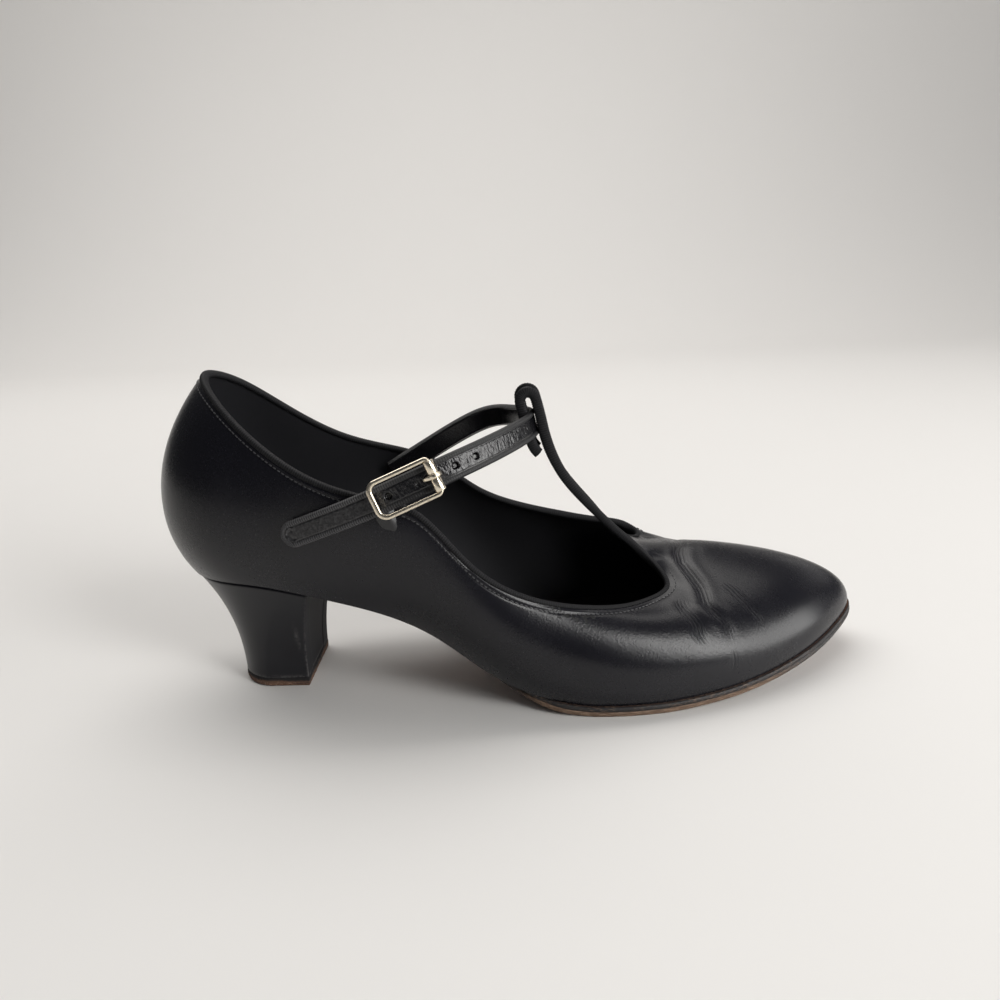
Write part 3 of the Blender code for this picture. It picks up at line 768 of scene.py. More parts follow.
@dataclass(frozen=True)
class LeatherFinish:
    """Black leather: pebbled grain, coarser where worn, fold lines darkened by painted shade, dark chips,
    rubbed edges partly lightened by a painted highlight, and a lining.
    """

    name: str
    colour: Colour = (0.0050, 0.0049, 0.0076, 1.0)
    rubbed: Colour = (0.030, 0.030, 0.034, 1.0)
    chip_and_crease_shade: Colour = (0.0012, 0.0012, 0.0014, 1.0)
    lining: Colour = (0.0080, 0.0080, 0.0105, 1.0)
    wear_and_highlight: Colour = (0.085, 0.082, 0.082, 1.0)
    roughness: float = 0.27
    lining_rougher: float = 0.5
    broad_rougher: float = 0.06
    fine_rougher: float = 0.05
    chip_rougher: float = 0.2
    line_rougher: float = 0.15
    reflection: float = 0.36
    broad_scale: float = 60.0
    broad_edge: Span = (0.5, 0.8)
    fine_scale: float = 900.0
    fine_edge: Span = (0.45, 0.8)
    worn_edge: Span = (0.30, 0.62)
    chip_scale: float = 620.0
    chip_edge: Span = (0.68, 0.72)
    scuff_edge: Span = (0.25, 0.5)
    grain_scale: float = 2300.0
    grain_depth: float = 0.00006
    wrinkle_scale: float = 1610.0
    wrinkle_stretch: Triple = (0.40, 0.8, 1.3)
    wrinkle_turn: float = 0.7
    line_depth: float = 0.00011
    line_pitch: float = 1.15
    line_edge: Span = (0.35, 1.0)
    shake: float = 1.6
    shake_scale: float = 190.0
    break_scale: float = 150.0
    break_edge: Span = (0.28, 0.58)

    def fold_lines(self, paint: Paint, crease: Wire) -> Wire:
        """Fold lines: a cosine of the distance across each fold, shaken and broken by noise.

        Args:
            paint: The material that they are drawn in.
            crease: How near a point is to a fold.

        Returns:
            Their depth from 0 to 1, which also sets the painted shade along them.
        """
        fold, = paint.values("fold")
        shaken = fold + (paint.noise(self.shake_scale) - 0.5) * self.shake
        wave = (shaken * (TURN / self.line_pitch)).cosine() * 0.5 + 0.5
        return wave.step(*self.line_edge) * paint.noise(self.break_scale, 2.0).step(*self.break_edge) * crease

    def paint(self) -> bpy.types.Material:
        """Colour and roughness vary with broad noise, chips, folds and rubbing, and painted shade darkens the
        fold lines; bump holds grain and folds.

        Returns:
            The material.
        """
        paint = Paint(self.name)
        inside, crease, sheen, scuff, wear_and_highlight = paint.values("inside", "crease", "sheen", "scuff", "wear_and_highlight")
        broad = paint.noise(self.broad_scale, 4.0)
        fine = paint.noise(self.fine_scale, 4.0)
        pebble = paint.pebbles(self.grain_scale)
        wrinkle = paint.noise(self.wrinkle_scale, 2.0, paint.place(self.wrinkle_stretch, self.wrinkle_turn))
        lines = self.fold_lines(paint, crease)
        chipped = (paint.noise(self.chip_scale, 2.0) + scuff * 0.16).step(*self.chip_edge)
        chipped = chipped * scuff.step(*self.scuff_edge)
        rubbing = crease * fine.step(*self.fine_edge) * 0.25 + broad.step(*self.broad_edge) * 0.12
        colour = paint.tint(rubbing, self.colour, self.rubbed)
        # Painted shade: the fold lines are tinted towards the chip colour, dark as shade in the creases.
        colour = paint.tint(chipped.largest(lines * 0.3), colour, self.chip_and_crease_shade)
        colour = paint.tint(inside, colour, self.lining)
        # Lighter marks: rubbed wear, and along the heel's breast edges also a painted highlight.
        colour = paint.tint(wear_and_highlight * fine.step(*self.worn_edge), colour, self.wear_and_highlight)
        roughness = self.roughness + (broad - 0.5) * self.broad_rougher + (fine - 0.5) * self.fine_rougher
        roughness = roughness + chipped * self.chip_rougher + lines * self.line_rougher
        roughness = roughness + inside * self.lining_rougher
        grain = pebble * (0.20 + sheen * 0.30) + wrinkle * (0.08 + sheen * 0.75 + crease * 0.55)
        normal = paint.bump(grain - chipped * 0.8, self.grain_depth)
        return paint.finish(Base_Color=colour, Roughness=roughness, Specular_IOR_Level=self.reflection,
                            Normal=paint.bump(lines * -1.0, self.line_depth, normal))


@dataclass(frozen=True)
class StrapFinish:
    """Glossy wrinkled strap leather between dull ribbed ribbon, with holes in painted shade, painted
    highlight and shade on the ribs, a rubbed end and a painted highlight on its pressed ring.
    """

    name: str
    leather: Colour = (0.0055, 0.0055, 0.0068, 1.0)
    groove: Colour = (0.0018, 0.0018, 0.0024, 1.0)
    rib: Colour = (0.017, 0.017, 0.020, 1.0)
    hole: Colour = (0.0008, 0.0008, 0.0008, 1.0)
    wear_and_highlight: Colour = (0.150, 0.148, 0.155, 1.0)
    gloss: float = 0.22
    ribbon_rougher: float = 0.38
    dull_rougher: float = 0.08
    fine_rougher: float = 0.14
    reflection: float = 0.55
    fine_scale: float = 1400.0
    worn_edge: Span = (0.42, 0.68)
    rib_edge: Span = (0.3, 1.0)
    wrinkle_scale: float = 1.5
    wrinkle_length: float = 0.4
    wrinkle_depth: float = 0.00022

    def paint(self) -> bpy.types.Material:
        """Gloss in the middle, dull ribbon at the edges, and crinkles that run across in the bump.

        Returns:
            The material.
        """
        paint = Paint(self.name)
        ribbon, rib, hole, dull, wear_and_highlight = paint.values("ribbon", "rib", "hole", "dull", "wear_and_highlight")
        run, side = paint.values("run", "side")
        leather = 1.0 - ribbon
        fine = paint.noise(self.fine_scale, 4.0)
        spread = paint.node("ShaderNodeCombineXYZ", {}, {0: run, 1: side * self.wrinkle_length})
        wrinkle = paint.noise(self.wrinkle_scale, 3.0, spread)
        # Painted highlight on the rib crowns and painted shade in the grooves between them.
        rib_highlight_and_shade = paint.tint(rib.step(*self.rib_edge) * (0.45 + fine * 0.8), self.groove, self.rib)
        colour = paint.tint(ribbon, self.leather, rib_highlight_and_shade)
        # Lighter marks: rubbed wear along the tail, and a painted highlight on the ribs and on the pressed
        # ring near the end.
        rubbing = ribbon * rib * 0.8 + leather * fine.step(*self.worn_edge) * 0.3
        colour = paint.tint(wear_and_highlight * rubbing, colour, self.wear_and_highlight)
        # Painted shade: the holes' shallow dimples are coloured near black.
        colour = paint.tint(hole, colour, self.hole)
        roughness = self.gloss + ribbon * self.ribbon_rougher + dull * self.dull_rougher
        roughness = roughness + (fine - 0.5) * self.fine_rougher
        height = wrinkle * leather * (1.0 - dull * 0.6) + fine * (0.12 + ribbon * 0.25)
        return paint.finish(Base_Color=colour, Roughness=roughness, Specular_IOR_Level=self.reflection,
                            Normal=paint.bump(height, self.wrinkle_depth))


@dataclass(frozen=True)
class RibbonFinish:
    """Black ribbed ribbon: dull, with a woven bump and a little sheen on the ribs."""

    name: str
    colour: Colour = (0.0030, 0.0030, 0.0038, 1.0)
    wear_and_highlight: Colour = (0.018, 0.018, 0.021, 1.0)
    roughness: float = 0.58
    reflection: float = 0.25
    rib_edge: Span = (0.35, 1.0)
    thread_rougher: float = 0.22
    thread_scale: float = 2400.0
    thread_depth: float = 0.00008

    def paint(self) -> bpy.types.Material:
        """Painted highlight: fine thread noise lightens the crowns of the ribs.

        Returns:
            The material.
        """
        paint = Paint(self.name)
        rib, = paint.values("rib")
        thread = paint.noise(self.thread_scale, 2.0)
        # Painted highlight on the rib crowns.
        colour = paint.tint(rib.step(*self.rib_edge) * (0.45 + thread * 0.75), self.colour, self.wear_and_highlight)
        return paint.finish(Base_Color=colour, Roughness=self.roughness + thread * self.thread_rougher,
                            Normal=paint.bump(thread, self.thread_depth), Specular_IOR_Level=self.reflection)


@dataclass(frozen=True)
class ThreadFinish:
    """Waxed sewing thread."""

    name: str
    colour: Colour = (0.060, 0.060, 0.064, 1.0)
    dark: Colour = (0.020, 0.020, 0.022, 1.0)
    roughness: float = 0.45
    twist_rougher: float = 0.2
    twist_scale: float = 3000.0

    def paint(self) -> bpy.types.Material:
        """A twist of light and dark across the thread.

        Returns:
            The material.
        """
        paint = Paint(self.name)
        twist = paint.noise(self.twist_scale, 1.0)
        return paint.finish(Base_Color=paint.tint(twist, self.colour, self.dark),
                            Roughness=self.roughness + twist * self.twist_rougher)


@dataclass(frozen=True)
class SoleFinish:
    """Raw sole leather: a napped reddish-brown tread and a scuffed edge, dyed dark at arch and toe."""

    name: str
    tread: Colour = (0.150, 0.066, 0.036, 1.0)
    tread_worn: Colour = (0.085, 0.040, 0.026, 1.0)
    edge: Colour = (0.120, 0.074, 0.048, 1.0)
    edge_pale: Colour = (0.260, 0.175, 0.120, 1.0)
    edge_dyed: Colour = (0.014, 0.013, 0.014, 1.0)
    dyed_front: Span = (0.056, 0.100)
    dyed_back: Span = (-0.012, 0.012)
    dye_front: float = 0.85
    scraped_off: float = 0.55
    roughness: float = 0.82
    dye_smoother: float = 0.28
    fibre_scale: float = 1500.0
    fibre_stretch: Triple = (0.5, 1.0, 1.6)
    stain_scale: float = 55.0
    stain_edge: Span = (0.35, 0.70)
    layer_scale: float = 2600.0
    layer_stretch: Triple = (0.12, 0.12, 1.0)
    layer_edge: Span = (0.45, 0.62)
    scraped_fibre: Span = (0.46, 0.70)
    scraped_stain: Span = (0.35, 0.65)
    nap_depth: float = 0.00022

    def paint(self) -> bpy.types.Material:
        """The edge's dye fades along X, and both faces have a fibrous noise.

        Returns:
            The material.
        """
        paint = Paint(self.name)
        edge, rand = paint.values("edge", "rand")
        x = paint.axis("X")
        fibre = paint.noise(self.fibre_scale, 4.0, paint.place(self.fibre_stretch))
        stain = paint.noise(self.stain_scale, 4.0)
        layer = paint.noise(self.layer_scale, 2.0, paint.place(self.layer_stretch))
        dyed = x.step(*self.dyed_front) * self.dye_front + 1.0 - x.step(*self.dyed_back)
        dyed = (dyed.step(0.0, 1.0) + rand).step(0.0, 1.0)
        scraped = fibre.step(*self.scraped_fibre) * stain.step(*self.scraped_stain)
        tread = paint.tint(stain.step(*self.stain_edge) * 0.8 + fibre * 0.2, self.tread, self.tread_worn)
        raw = paint.tint(layer.step(*self.layer_edge) * 0.6 + scraped * 0.4, self.edge, self.edge_pale)
        side = paint.tint(dyed * (1.0 - scraped * self.scraped_off), raw, self.edge_dyed)
        return paint.finish(Base_Color=paint.tint(edge, tread, side),
                            Roughness=self.roughness - dyed * edge * self.dye_smoother,
                            Normal=paint.bump(fibre + layer * edge * 0.6, self.nap_depth))


@dataclass(frozen=True)
class LiftFinish:
    """Stacked leather of the heel's top piece: fuzzy brown with darker layers, dyed dark along its top."""

    name: str
    colour: Colour = (0.120, 0.064, 0.040, 1.0)
    pale: Colour = (0.250, 0.155, 0.105, 1.0)
    dark: Colour = (0.040, 0.024, 0.018, 1.0)
    dye: Colour = (0.009, 0.008, 0.009, 1.0)
    dye_height: Span = (0.0014, 0.0024)
    fibre_ragged: float = 0.0014
    stain_ragged: float = 0.0016
    roughness: float = 0.86
    fibre_scale: float = 1700.0
    fibre_edge: Span = (0.45, 0.72)
    layer_scale: float = 1500.0
    layer_stretch: Triple = (0.10, 0.10, 1.0)
    layer_edge: Span = (0.50, 0.66)
    stain_scale: float = 130.0
    stain_edge: Span = (0.5, 0.8)
    nap_depth: float = 0.00030

    def paint(self) -> bpy.types.Material:
        """Layered noise along Z for the stack, fibre noise for the nap, and a ragged line of dye.

        Returns:
            The material.
        """
        paint = Paint(self.name)
        fibre = paint.noise(self.fibre_scale, 4.0)
        layer = paint.noise(self.layer_scale, 2.0, paint.place(self.layer_stretch))
        stain = paint.noise(self.stain_scale)
        colour = paint.tint(fibre.step(*self.fibre_edge), self.colour, self.pale)
        darker = layer.step(*self.layer_edge) * 0.7 + stain.step(*self.stain_edge) * 0.3
        colour = paint.tint(darker, colour, self.dark)
        height = paint.axis("Z") + (fibre - 0.5) * self.fibre_ragged + (stain - 0.5) * self.stain_ragged
        colour = paint.tint(height.step(*self.dye_height), colour, self.dye)
        return paint.finish(Base_Color=colour, Roughness=self.roughness,
                            Normal=paint.bump(fibre + layer * 0.6, self.nap_depth))


@dataclass(frozen=True)
class MetalFinish:
    """Pale gold plating with fine scratches and dull spots."""

    name: str
    colour: Colour = (0.840, 0.755, 0.610, 1.0)
    tarnish: Colour = (0.420, 0.330, 0.240, 1.0)
    roughness: float = 0.20
    spot_rougher: float = 0.16
    scratch_rougher: float = 0.06
    spot_scale: float = 420.0
    spot_edge: Span = (0.45, 0.8)
    tarnish_edge: Span = (0.55, 0.80)
    scratch_scale: float = 1500.0
    scratch_stretch: Triple = (0.15, 1.0, 1.0)
    scratch_turn: float = 0.4
    scratch_depth: float = 0.00002

    def paint(self) -> bpy.types.Material:
        """Noise dulls the plating, and stretched noise scratches it.

        Returns:
            The material.
        """
        paint = Paint(self.name)
        spot = paint.noise(self.spot_scale, 4.0)
        scratch = paint.noise(self.scratch_scale, 2.0, paint.place(self.scratch_stretch, self.scratch_turn))
        colour = paint.tint(spot.step(*self.tarnish_edge) * 0.6, self.colour, self.tarnish)
        roughness = self.roughness + spot.step(*self.spot_edge) * self.spot_rougher
        roughness = roughness + scratch * self.scratch_rougher
        return paint.finish(Base_Color=colour, Roughness=roughness, Metallic=1.0,
                            Normal=paint.bump(scratch, self.scratch_depth))


@dataclass(frozen=True)
class SockFinish:
    """Dark sock lining, polished where the foot has stood."""

    name: str
    colour: Colour = (0.016, 0.014, 0.015, 1.0)
    trodden: Colour = (0.034, 0.028, 0.026, 1.0)
    roughness: float = 0.82
    stain_scale: float = 45.0
    stain_edge: Span = (0.40, 0.70)
    stain_smoother: float = 0.2
    nap_scale: float = 1800.0
    nap_depth: float = 0.00015

    def paint(self) -> bpy.types.Material:
        """Broad stains for tread marks and a fine nap.

        Returns:
            The material.
        """
        paint = Paint(self.name)
        trodden = paint.noise(self.stain_scale, 4.0).step(*self.stain_edge)
        return paint.finish(Base_Color=paint.tint(trodden, self.colour, self.trodden),
                            Roughness=self.roughness - trodden * self.stain_smoother,
                            Normal=paint.bump(paint.noise(self.nap_scale, 4.0), self.nap_depth))


@dataclass(frozen=True)
class FloorFinish:
    """Plain pale studio floor."""

    name: str
    colour: Colour = (0.74, 0.73, 0.715, 1.0)
    light: Colour = (0.78, 0.77, 0.76, 1.0)
    roughness: float = 0.62
    mottle_scale: float = 6.0

    def paint(self) -> bpy.types.Material:
        """Pale and dull, with the faintest mottling."""
        paint = Paint(self.name)
        return paint.finish(Roughness=self.roughness, Base_Color=paint.tint(
            paint.noise(self.mottle_scale) * 0.12, self.colour, self.light))


# Making pieces

@dataclass
class Workshop:
    """Turns shapes into pieces that ride on the shoe."""

    last: Last
    merge: float = 0.000002

    def piece(self, name: str, shape: Shape, material: bpy.types.Material,
              nodes: tuple[str, ...] = (), sharp: float = 50.0) -> None:
        """Makes one piece of the object.

        Args:
            name: The piece's name.
            shape: Its closed shape in millimetres.
            material: Its finish.
            nodes: CAD nodes that it stands for.
            sharp: Angle in degrees over which an edge stays sharp.
        """
        mesh = bpy.data.meshes.new(name)
        faces = [face for part in shape.faces for face in part.tolist()]
        mesh.from_pydata(self.last.to_metres(shape.points).tolist(), [], faces)
        for key, values in shape.values.items():
            held = mesh.attributes.new(key, "FLOAT", "POINT")
            held.data.foreach_set("value", np.asarray(values, np.float32))
        work = bmesh.new()
        work.from_mesh(mesh)
        bmesh.ops.remove_doubles(work, verts=work.verts, dist=self.merge)
        bmesh.ops.dissolve_degenerate(work, edges=work.edges, dist=self.merge / 10.0)
        work.to_mesh(mesh)
        work.free()
        mesh.shade_smooth()
        mesh.set_sharp_from_angle(angle=np.radians(sharp))
        mesh.materials.append(material)
        item = bpy.data.objects.new(name, mesh)
        bpy.context.scene.collection.objects.link(item)
        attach(item, ROOT)
        if nodes:
            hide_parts(*nodes)
        log.info("%s: %d faces", name, len(mesh.polygons))


# Upper, binding and stitches

@dataclass
class Upper:
    """Vamp, quarters and T-bar with its loop: one creased leather wall, bound and stitched along its edge."""

    last: Last
    wall: float = 1.6
    margin: float = 9.0
    level_count: int = 72
    column_runs: tuple[tuple[str, str, int], ...] = (
        ("heel back", "lateral ball rear", 8), ("lateral ball rear", "lateral throat", 32),
        ("lateral throat", "medial throat", 20), ("medial throat", "medial ball rear", 16),
        ("medial ball rear", "heel back", 8))
    bar_sections: tuple[str, str] = ("lateral toe corner", "medial throat")
    bar_steps: int = 15
    bar_blend: float = 13.0
    loop_hole: float = 3.4
    loop_drop: float = 13.0
    loop_lean: float = 0.3
    loop_tail: float = 4.5
    loop_tail_back: float = 4.9
    fair_reach: float = 16.0
    ease_span: int = 18
    ease_rounds: int = 80
    fold_steps: int = 26
    tail_steps: int = 18
    fold_fade: Span = (0.25, 0.35)
    fold_reach: float = 1.1
    lip_place: float = 2.1
    lip_width: float = 1.2
    sheen_width: float = 8.0
    scuff_width: float = 1.7
    seam_depth: float = 2.9
    seam_fade: float = 5.0
    seam_groove: float = 0.20
    groove_width: float = 0.35
    seam_welt: float = 0.14
    welt_place: float = 0.7
    welt_width: float = 0.4
    stitch_start: float = 0.3
    stitch_pitch: float = 1.5
    stitch_length: float = 1.15
    stitch_radius: float = 0.22
    stitch_lift: float = 0.02
    stitch_taper: float = 0.6
    stitch_rings: int = 7
    stitch_sides: int = 6
    level_step: float = 0.004
    points: Array = field(init=False)
    quads: Array = field(init=False)
    normals: Array = field(init=False)
    inset: Array = field(init=False)
    edge: Array = field(init=False)

    def columns(self) -> Array:
        """Section numbers of the sheet's columns.

        Returns:
            The numbers in order round the foot, closest together where the vamp folds.
        """
        runs = []
        for first, last, count in self.column_runs:
            start = row_number(SECTIONS, first)
            end = row_number(SECTIONS, last) or len(SECTIONS)
            runs.append(np.arange(start * count, end * count) / count)
        return np.concatenate(runs)

    def bar_grid(self, root: Array) -> Array:
        """Front of the T-bar and its rolled loop, starting from the throat's own row.

        Each row is the centre line plus an even share of the half width along the bar's cross direction,
        less arch times the square of that reach. The first rows slide from the throat's row. The last ones
        roll half a turn round the strap's hole, fall behind it and follow the bar's back.

        Args:
            root: The throat's row of points.

        Returns:
            Grid of points.
        """
        count = (len(BAR) - 1) * self.bar_steps + 1
        values = spline(table(BAR), np.arange(count) / self.bar_steps)
        centre = self.last.placed(values)
        half, arch, twist = values[:, 3:].T
        up = unit(np.gradient(centre, axis=0))
        front = unit(np.cross((0.0, 1.0, 0.0), up))
        turn = np.radians(twist)[:, None]
        across = np.cos(turn) * np.cross(up, front) - np.sin(turn) * front
        front = np.cross(across, up)
        reach = np.linspace(-1.0, 1.0, len(root)) * half[:, None]
        grid = centre[:, None] + across[:, None] * reach[..., None]
        grid = grid - front[:, None] * (arch[:, None] * reach**2)[..., None]
        climb = travelled(centre)
        fade = 1.0 - smooth(climb / self.bar_blend)
        grid = grid + fade[:, None, None] * (root - grid[0])
        radius = self.wall + self.loop_hole / 2.0
        angles = np.linspace(0.0, np.pi, self.fold_steps + 1)[1:, None]
        spoke = np.cos(angles) * front[-1] + np.sin(angles) * up[-1]
        roll = centre[-1] - radius * front[-1] + radius * spoke
        depths = np.array([self.loop_drop, self.loop_drop + self.loop_tail])
        behind = np.array([2.0 * radius - self.loop_lean, self.loop_tail_back])[:, None]
        spots = read_along(np.hstack([centre, front]), climb, climb[-1] - depths)
        tail = np.vstack([roll[-1], spots[:, :3] - behind * spots[:, 3:]])
        fall = spline(tail, np.linspace(0.0, 2.0, self.tail_steps + 1)[1:])
        loop = np.vstack([roll, fall])[:, None] + across[-1] * reach[-1][:, None]
        return np.concatenate([grid, loop])

    def sheet(self) -> None:
        """Works out margin, wall and T-bar as one sheet, its open edge and each point's inset from that."""
        at = self.columns()
        count = len(at)
        wall = self.last.wall(at, np.linspace(0.0, 1.0, self.level_count + 1)[:, None])
        first, last = (int(np.searchsorted(at, row_number(SECTIONS, name))) for name in self.bar_sections)
        throat = wall[-1, first:last + 1]
        width = len(throat)
        bar = self.bar_grid(throat)
        feather, outward = self.last.feather(at)
        margin = feather - self.margin * outward
        margin[:, 2] = self.last.bottom(margin[:, 0])
        rows = np.concatenate([margin[None], wall])
        self.points = np.concatenate([rows.reshape(-1, 3), bar[1:].reshape(-1, 3)])
        top = (len(rows) - 1) * count
        number = np.vstack([np.arange(top + first, top + last + 1),
                            top + count + np.arange((len(bar) - 1) * width).reshape(-1, width)])
        bar_quads = np.stack([number[:-1, :-1], number[:-1, 1:], number[1:, 1:], number[1:, :-1]], axis=-1)
        self.quads = np.concatenate([grid_quads(len(rows), count, wrap_columns=True),
                                     bar_quads.reshape(-1, 4)])
        drop = np.cumsum(np.linalg.norm(np.diff(wall, axis=0), axis=2)[::-1], axis=0)[::-1]
        inset = np.concatenate([drop[:1], drop, np.zeros((1, count))])
        step = np.arange(width)
        inset[:, first:last + 1] += FAR * smooth(np.minimum(step, step[::-1]) / self.seam_fade)
        self.inset = np.concatenate([inset.ravel(), np.full((len(bar) - 1) * width, FAR)])
        around = top + (first - np.arange(count - width + 2)) % count
        self.edge = np.concatenate([number[:0:-1, 0], around, number[1:, -1]])
        self.ease_edge((len(number) - 1, len(number) + len(around) - 2))
        near = near_path(self.points, throat, self.fair_reach)
        near = near[nearest_on_path(self.points[near], throat)[0] < self.fair_reach]
        self.points = faired(self.points, self.quads, near[~np.isin(near, self.edge)], self.edge)

    def ease_edge(self, corners: tuple[int, ...]) -> None:
        """Rounds the open edge at its corners, by moving means that fade along it as a bell.

        Args:
            corners: Their places in the edge.
        """
        path = self.points[self.edge]
        for corner in corners:
            span = corner + np.arange(-self.ease_span, self.ease_span + 1)
            weight = bell(span - corner, self.ease_span / 2.0)[:, None]
            for _ in range(self.ease_rounds):
                path[span] += weight * ((path[span - 1] + path[span + 1]) / 2.0 - path[span])
        self.points[self.edge] = path

    def folds(self) -> tuple[Array, dict[str, Array]]:
        """Height of the creases over the sheet, and the values from which the finish draws their fine lines.

        Each crease is a bell-shaped trough along its path with a lower lip on both sides, faded at its ends.

        Returns:
            Heights in millimetres, and values by name: crease is how near a point is to a fold, and fold its
            signed distance from the nearest one.
        """
        count = len(self.points)
        height, near, across = np.zeros(count), np.zeros(count), np.full(count, FAR)
        normals = point_normals(self.points, self.quads)
        fade_in, fade_out = self.fold_fade
        for crease in CREASES:
            path = self.last.wall_path(crease.path)
            some = near_path(self.points, path, FAR)
            far, share, gap = nearest_on_path(self.points[some], path)
            fade = smooth(share / fade_in) * smooth((1.0 - share) / fade_out)
            lips = bell(far - self.lip_place * crease.width, self.lip_width * crease.width)
            height[some] += fade * (crease.lip * lips - crease.depth * bell(far, crease.width))
            along = unit(read_along(np.gradient(path, axis=0), np.linspace(0.0, 1.0, len(path)), share))
            side = np.sign(dot(np.cross(normals[some], along), gap)[:, 0])
            closest = far < np.abs(across[some])
            across[some[closest]] = (side * far)[closest]
            near[some] = np.maximum(near[some], fade * bell(far, self.fold_reach * crease.width))
        return height, {"crease": near, "fold": across}

    def closeness(self, pairs: Path, width: float) -> Array:
        """How near each point of the sheet is to a path on the wall.

        Args:
            pairs: The path's section numbers and levels.
            width: Width of the bell.

        Returns:
            A bell of the distance, from 1 on the path to 0.
        """
        path = self.last.wall_path(pairs)
        some = near_path(self.points, path, 3.0 * width)
        near = np.zeros(len(self.points))
        near[some] = bell(nearest_on_path(self.points[some], path)[0], width)
        return near

    def build(self, shop: Workshop, leather: LeatherFinish, ribbon: RibbonFinish,
              thread: ThreadFinish) -> None:
        """Makes the leather wall, its ribbon and its stitches.

        Args:
            shop: Where pieces are made.
            leather: Finish of the wall.
            ribbon: Finish of the binding.
            thread: Finish of the stitches.
        """
        self.sheet()
        height, marks = self.folds()
        below = self.inset - self.seam_depth
        height += self.seam_welt * bell(below + self.welt_place, self.welt_width)
        height -= self.seam_groove * bell(below, self.groove_width)
        shape, self.normals = thickened(self.points, self.quads, height, self.wall)
        marks["sheen"] = self.closeness(SHEEN_PATH, self.sheen_width)
        marks["scuff"] = self.closeness(SCUFF_PATH, self.scuff_width)
        blank = np.zeros(len(self.points))
        shape.values.update({name: np.concatenate([values, blank]) for name, values in marks.items()})
        shop.piece("upper_leather", shape, leather.paint(), ("upper",))
        bound = Binding().shape(self)
        shop.piece("topline_ribbon", bound, ribbon.paint(), ("topline_binding",))
        shop.piece("topline_stitches", self.stitches(), thread.paint())

    def edge_frame(self) -> tuple[Array, Array, Array]:
        """Points of the open edge, the sheet's outward direction there, and the direction into the sheet."""
        place, out = self.points[self.edge], self.normals[self.edge]
        return place, out, unit(np.cross(out, unit(np.gradient(place, axis=0))))

    def stitches(self) -> Shape:
        """Short rounded stitches in the seam's groove: copies of one capsule at even steps along it.

        A capsule is a half turn along the seam by a full turn round it, its radius a power of the sine.

        Returns:
            All stitches as one shape.
        """
        start, end = (row_number(SECTIONS, name) for name in self.bar_sections)
        at = np.arange(start - self.stitch_start, end - len(SECTIONS), -self.last.plan_step)
        _, _, handle, top = self.last.section_curves(at)
        level = 1.0 - self.seam_depth / (3.0 * np.linalg.norm(top - handle, axis=1))
        place, higher = (self.last.wall(at, level + step) for step in (0.0, self.level_step))
        run = unit(np.gradient(place, axis=0))
        out = unit(np.cross(run, unit(higher - place)))
        lengths = travelled(place)
        spots = np.arange(self.stitch_pitch, lengths[-1] - self.stitch_pitch, self.stitch_pitch)
        place, run, out = (read_along(values, lengths, spots) for values in (place, run, out))
        out = unit(out) * np.sign(out[:, 1:2] * place[:, 1:2] + TINY)
        run = unit(run)
        turn = np.linspace(0.0, np.pi, self.stitch_rings)[:, None]
        ring = np.linspace(0.0, TURN, self.stitch_sides + 1)[None, :-1]
        ahead = (-np.cos(turn) * self.stitch_length / 2.0 + 0.0 * ring).reshape(-1, 1)
        radius = np.sin(turn)**self.stitch_taper * self.stitch_radius
        beside = (radius * np.cos(ring)).reshape(-1, 1)
        raised = (radius * np.sin(ring)).reshape(-1, 1) + self.stitch_lift
        local = run[:, None] * ahead + np.cross(out, run)[:, None] * beside + out[:, None] * raised
        one = grid_quads(self.stitch_rings, self.stitch_sides, wrap_columns=True)
        copies = self.stitch_rings * self.stitch_sides * np.arange(len(spots))[:, None, None]
        return Shape((place[:, None] + local).reshape(-1, 3), [(one + copies).reshape(-1, 4)]).facing_out()


